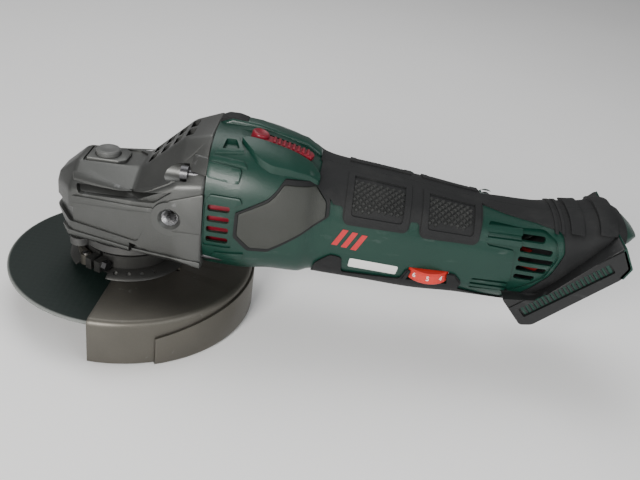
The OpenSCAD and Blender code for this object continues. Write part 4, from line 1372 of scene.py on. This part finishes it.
@dataclass
class Studio:
    """Pale floor, soft lights and the camera."""

    elevation: float = 29.63
    roll: float = 8.4
    distance: float = 430.0
    view_width: float = 348.774
    shift_right: float = 103.483
    shift_up: float = 9.786
    sensor: float = 36.0
    floor_half: float = 3000.0
    world_strength: float = 0.32

    def camera_axes(self) -> tuple[Vector, Vector, Vector]:
        """The camera's right, up and backward directions."""
        e, r = math.radians(self.elevation), math.radians(self.roll)
        back = Vector((0, -math.cos(e), math.sin(e)))
        right, up = Vector((1, 0, 0)), Vector((0, math.sin(e), math.cos(e)))
        return (math.cos(r) * right + math.sin(r) * up, -math.sin(r) * right + math.cos(r) * up, back)

    def build_camera(self) -> None:
        """Sets the camera at the viewing angle."""
        right, up, back = self.camera_axes()
        data = bpy.data.cameras.new("view")
        data.sensor_width = self.sensor
        data.lens = self.distance / self.view_width * self.sensor
        data.clip_start = 0.01
        camera = bpy.data.objects.new("view", data)
        bpy.context.scene.collection.objects.link(camera)
        spot = (self.shift_right * right + self.shift_up * up + self.distance * back) * MM
        turn = Matrix((right, up, back)).transposed().to_4x4()
        camera.matrix_world = Matrix.Translation(spot) @ turn
        bpy.context.scene.camera = camera

    @staticmethod
    def light(name: str, place: Point, target: Point, size: float, power: float, colour: Point) -> None:
        """Adds a soft area light that points at a target; lengths are in metres."""
        data = bpy.data.lights.new(name, "AREA")
        data.size = size
        data.energy = power
        data.color = colour
        lamp = bpy.data.objects.new(name, data)
        bpy.context.scene.collection.objects.link(lamp)
        aim = (Vector(target) - Vector(place)).to_track_quat("-Z", "Y")
        lamp.matrix_world = Matrix.Translation(place) @ aim.to_matrix().to_4x4()

    def build(self) -> None:
        """Builds floor, lights, world and camera."""
        low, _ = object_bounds()
        half, level = self.floor_half, low[2] / MM - 0.2
        ground = mesh_object("floor", [(-half, -half, level), (half, -half, level), (half, half, level),
                                       (-half, half, level)], [(0, 1, 2, 3)])
        ground.data.materials.append(Floor().build())
        ground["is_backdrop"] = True
        world = bpy.data.worlds.new("studio")
        world.use_nodes = True
        world.node_tree.nodes["Background"].inputs["Color"].default_value = (1, 1, 1, 1)
        world.node_tree.nodes["Background"].inputs["Strength"].default_value = self.world_strength
        bpy.context.scene.world = world
        centre = (0.1, 0.0, 0.03)
        self.light("key", (-0.2, -0.85, 0.42), centre, 0.35, 11.0, (1.0, 0.98, 0.95))
        self.light("fill", (0.75, -0.6, 0.5), centre, 0.6, 3.5, (0.96, 0.98, 1.0))
        self.light("top", (-0.1, 0.35, 0.9), centre, 0.7, 5.0, (1.0, 1.0, 1.0))
        self.build_camera()


def main() -> None:
    """Builds every sub-assembly in order."""
    logging.basicConfig(level=logging.INFO, format="%(name)s: %(message)s")
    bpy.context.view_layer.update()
    studio = Studio()
    studio.build()
    scatter = Scatter("scatter_elements")
    Housing(HandleForm(), scatter).build()
    GearHead().build()
    Foot().build(scatter)
    Guard().build()
    Disc().build()
    Controls(scatter).build()
    dress_cad_nodes({"left_housing", "right_housing", "left_grip", "right_grip", "left_side_pad",
                     "right_side_pad", "battery_foot", "gear_case", "guard_shell", "cutting_cover",
                     "cutting_disc", "switch_slider", "speed_dial", "lock_button"})


if __name__ == "__main__":
    main()
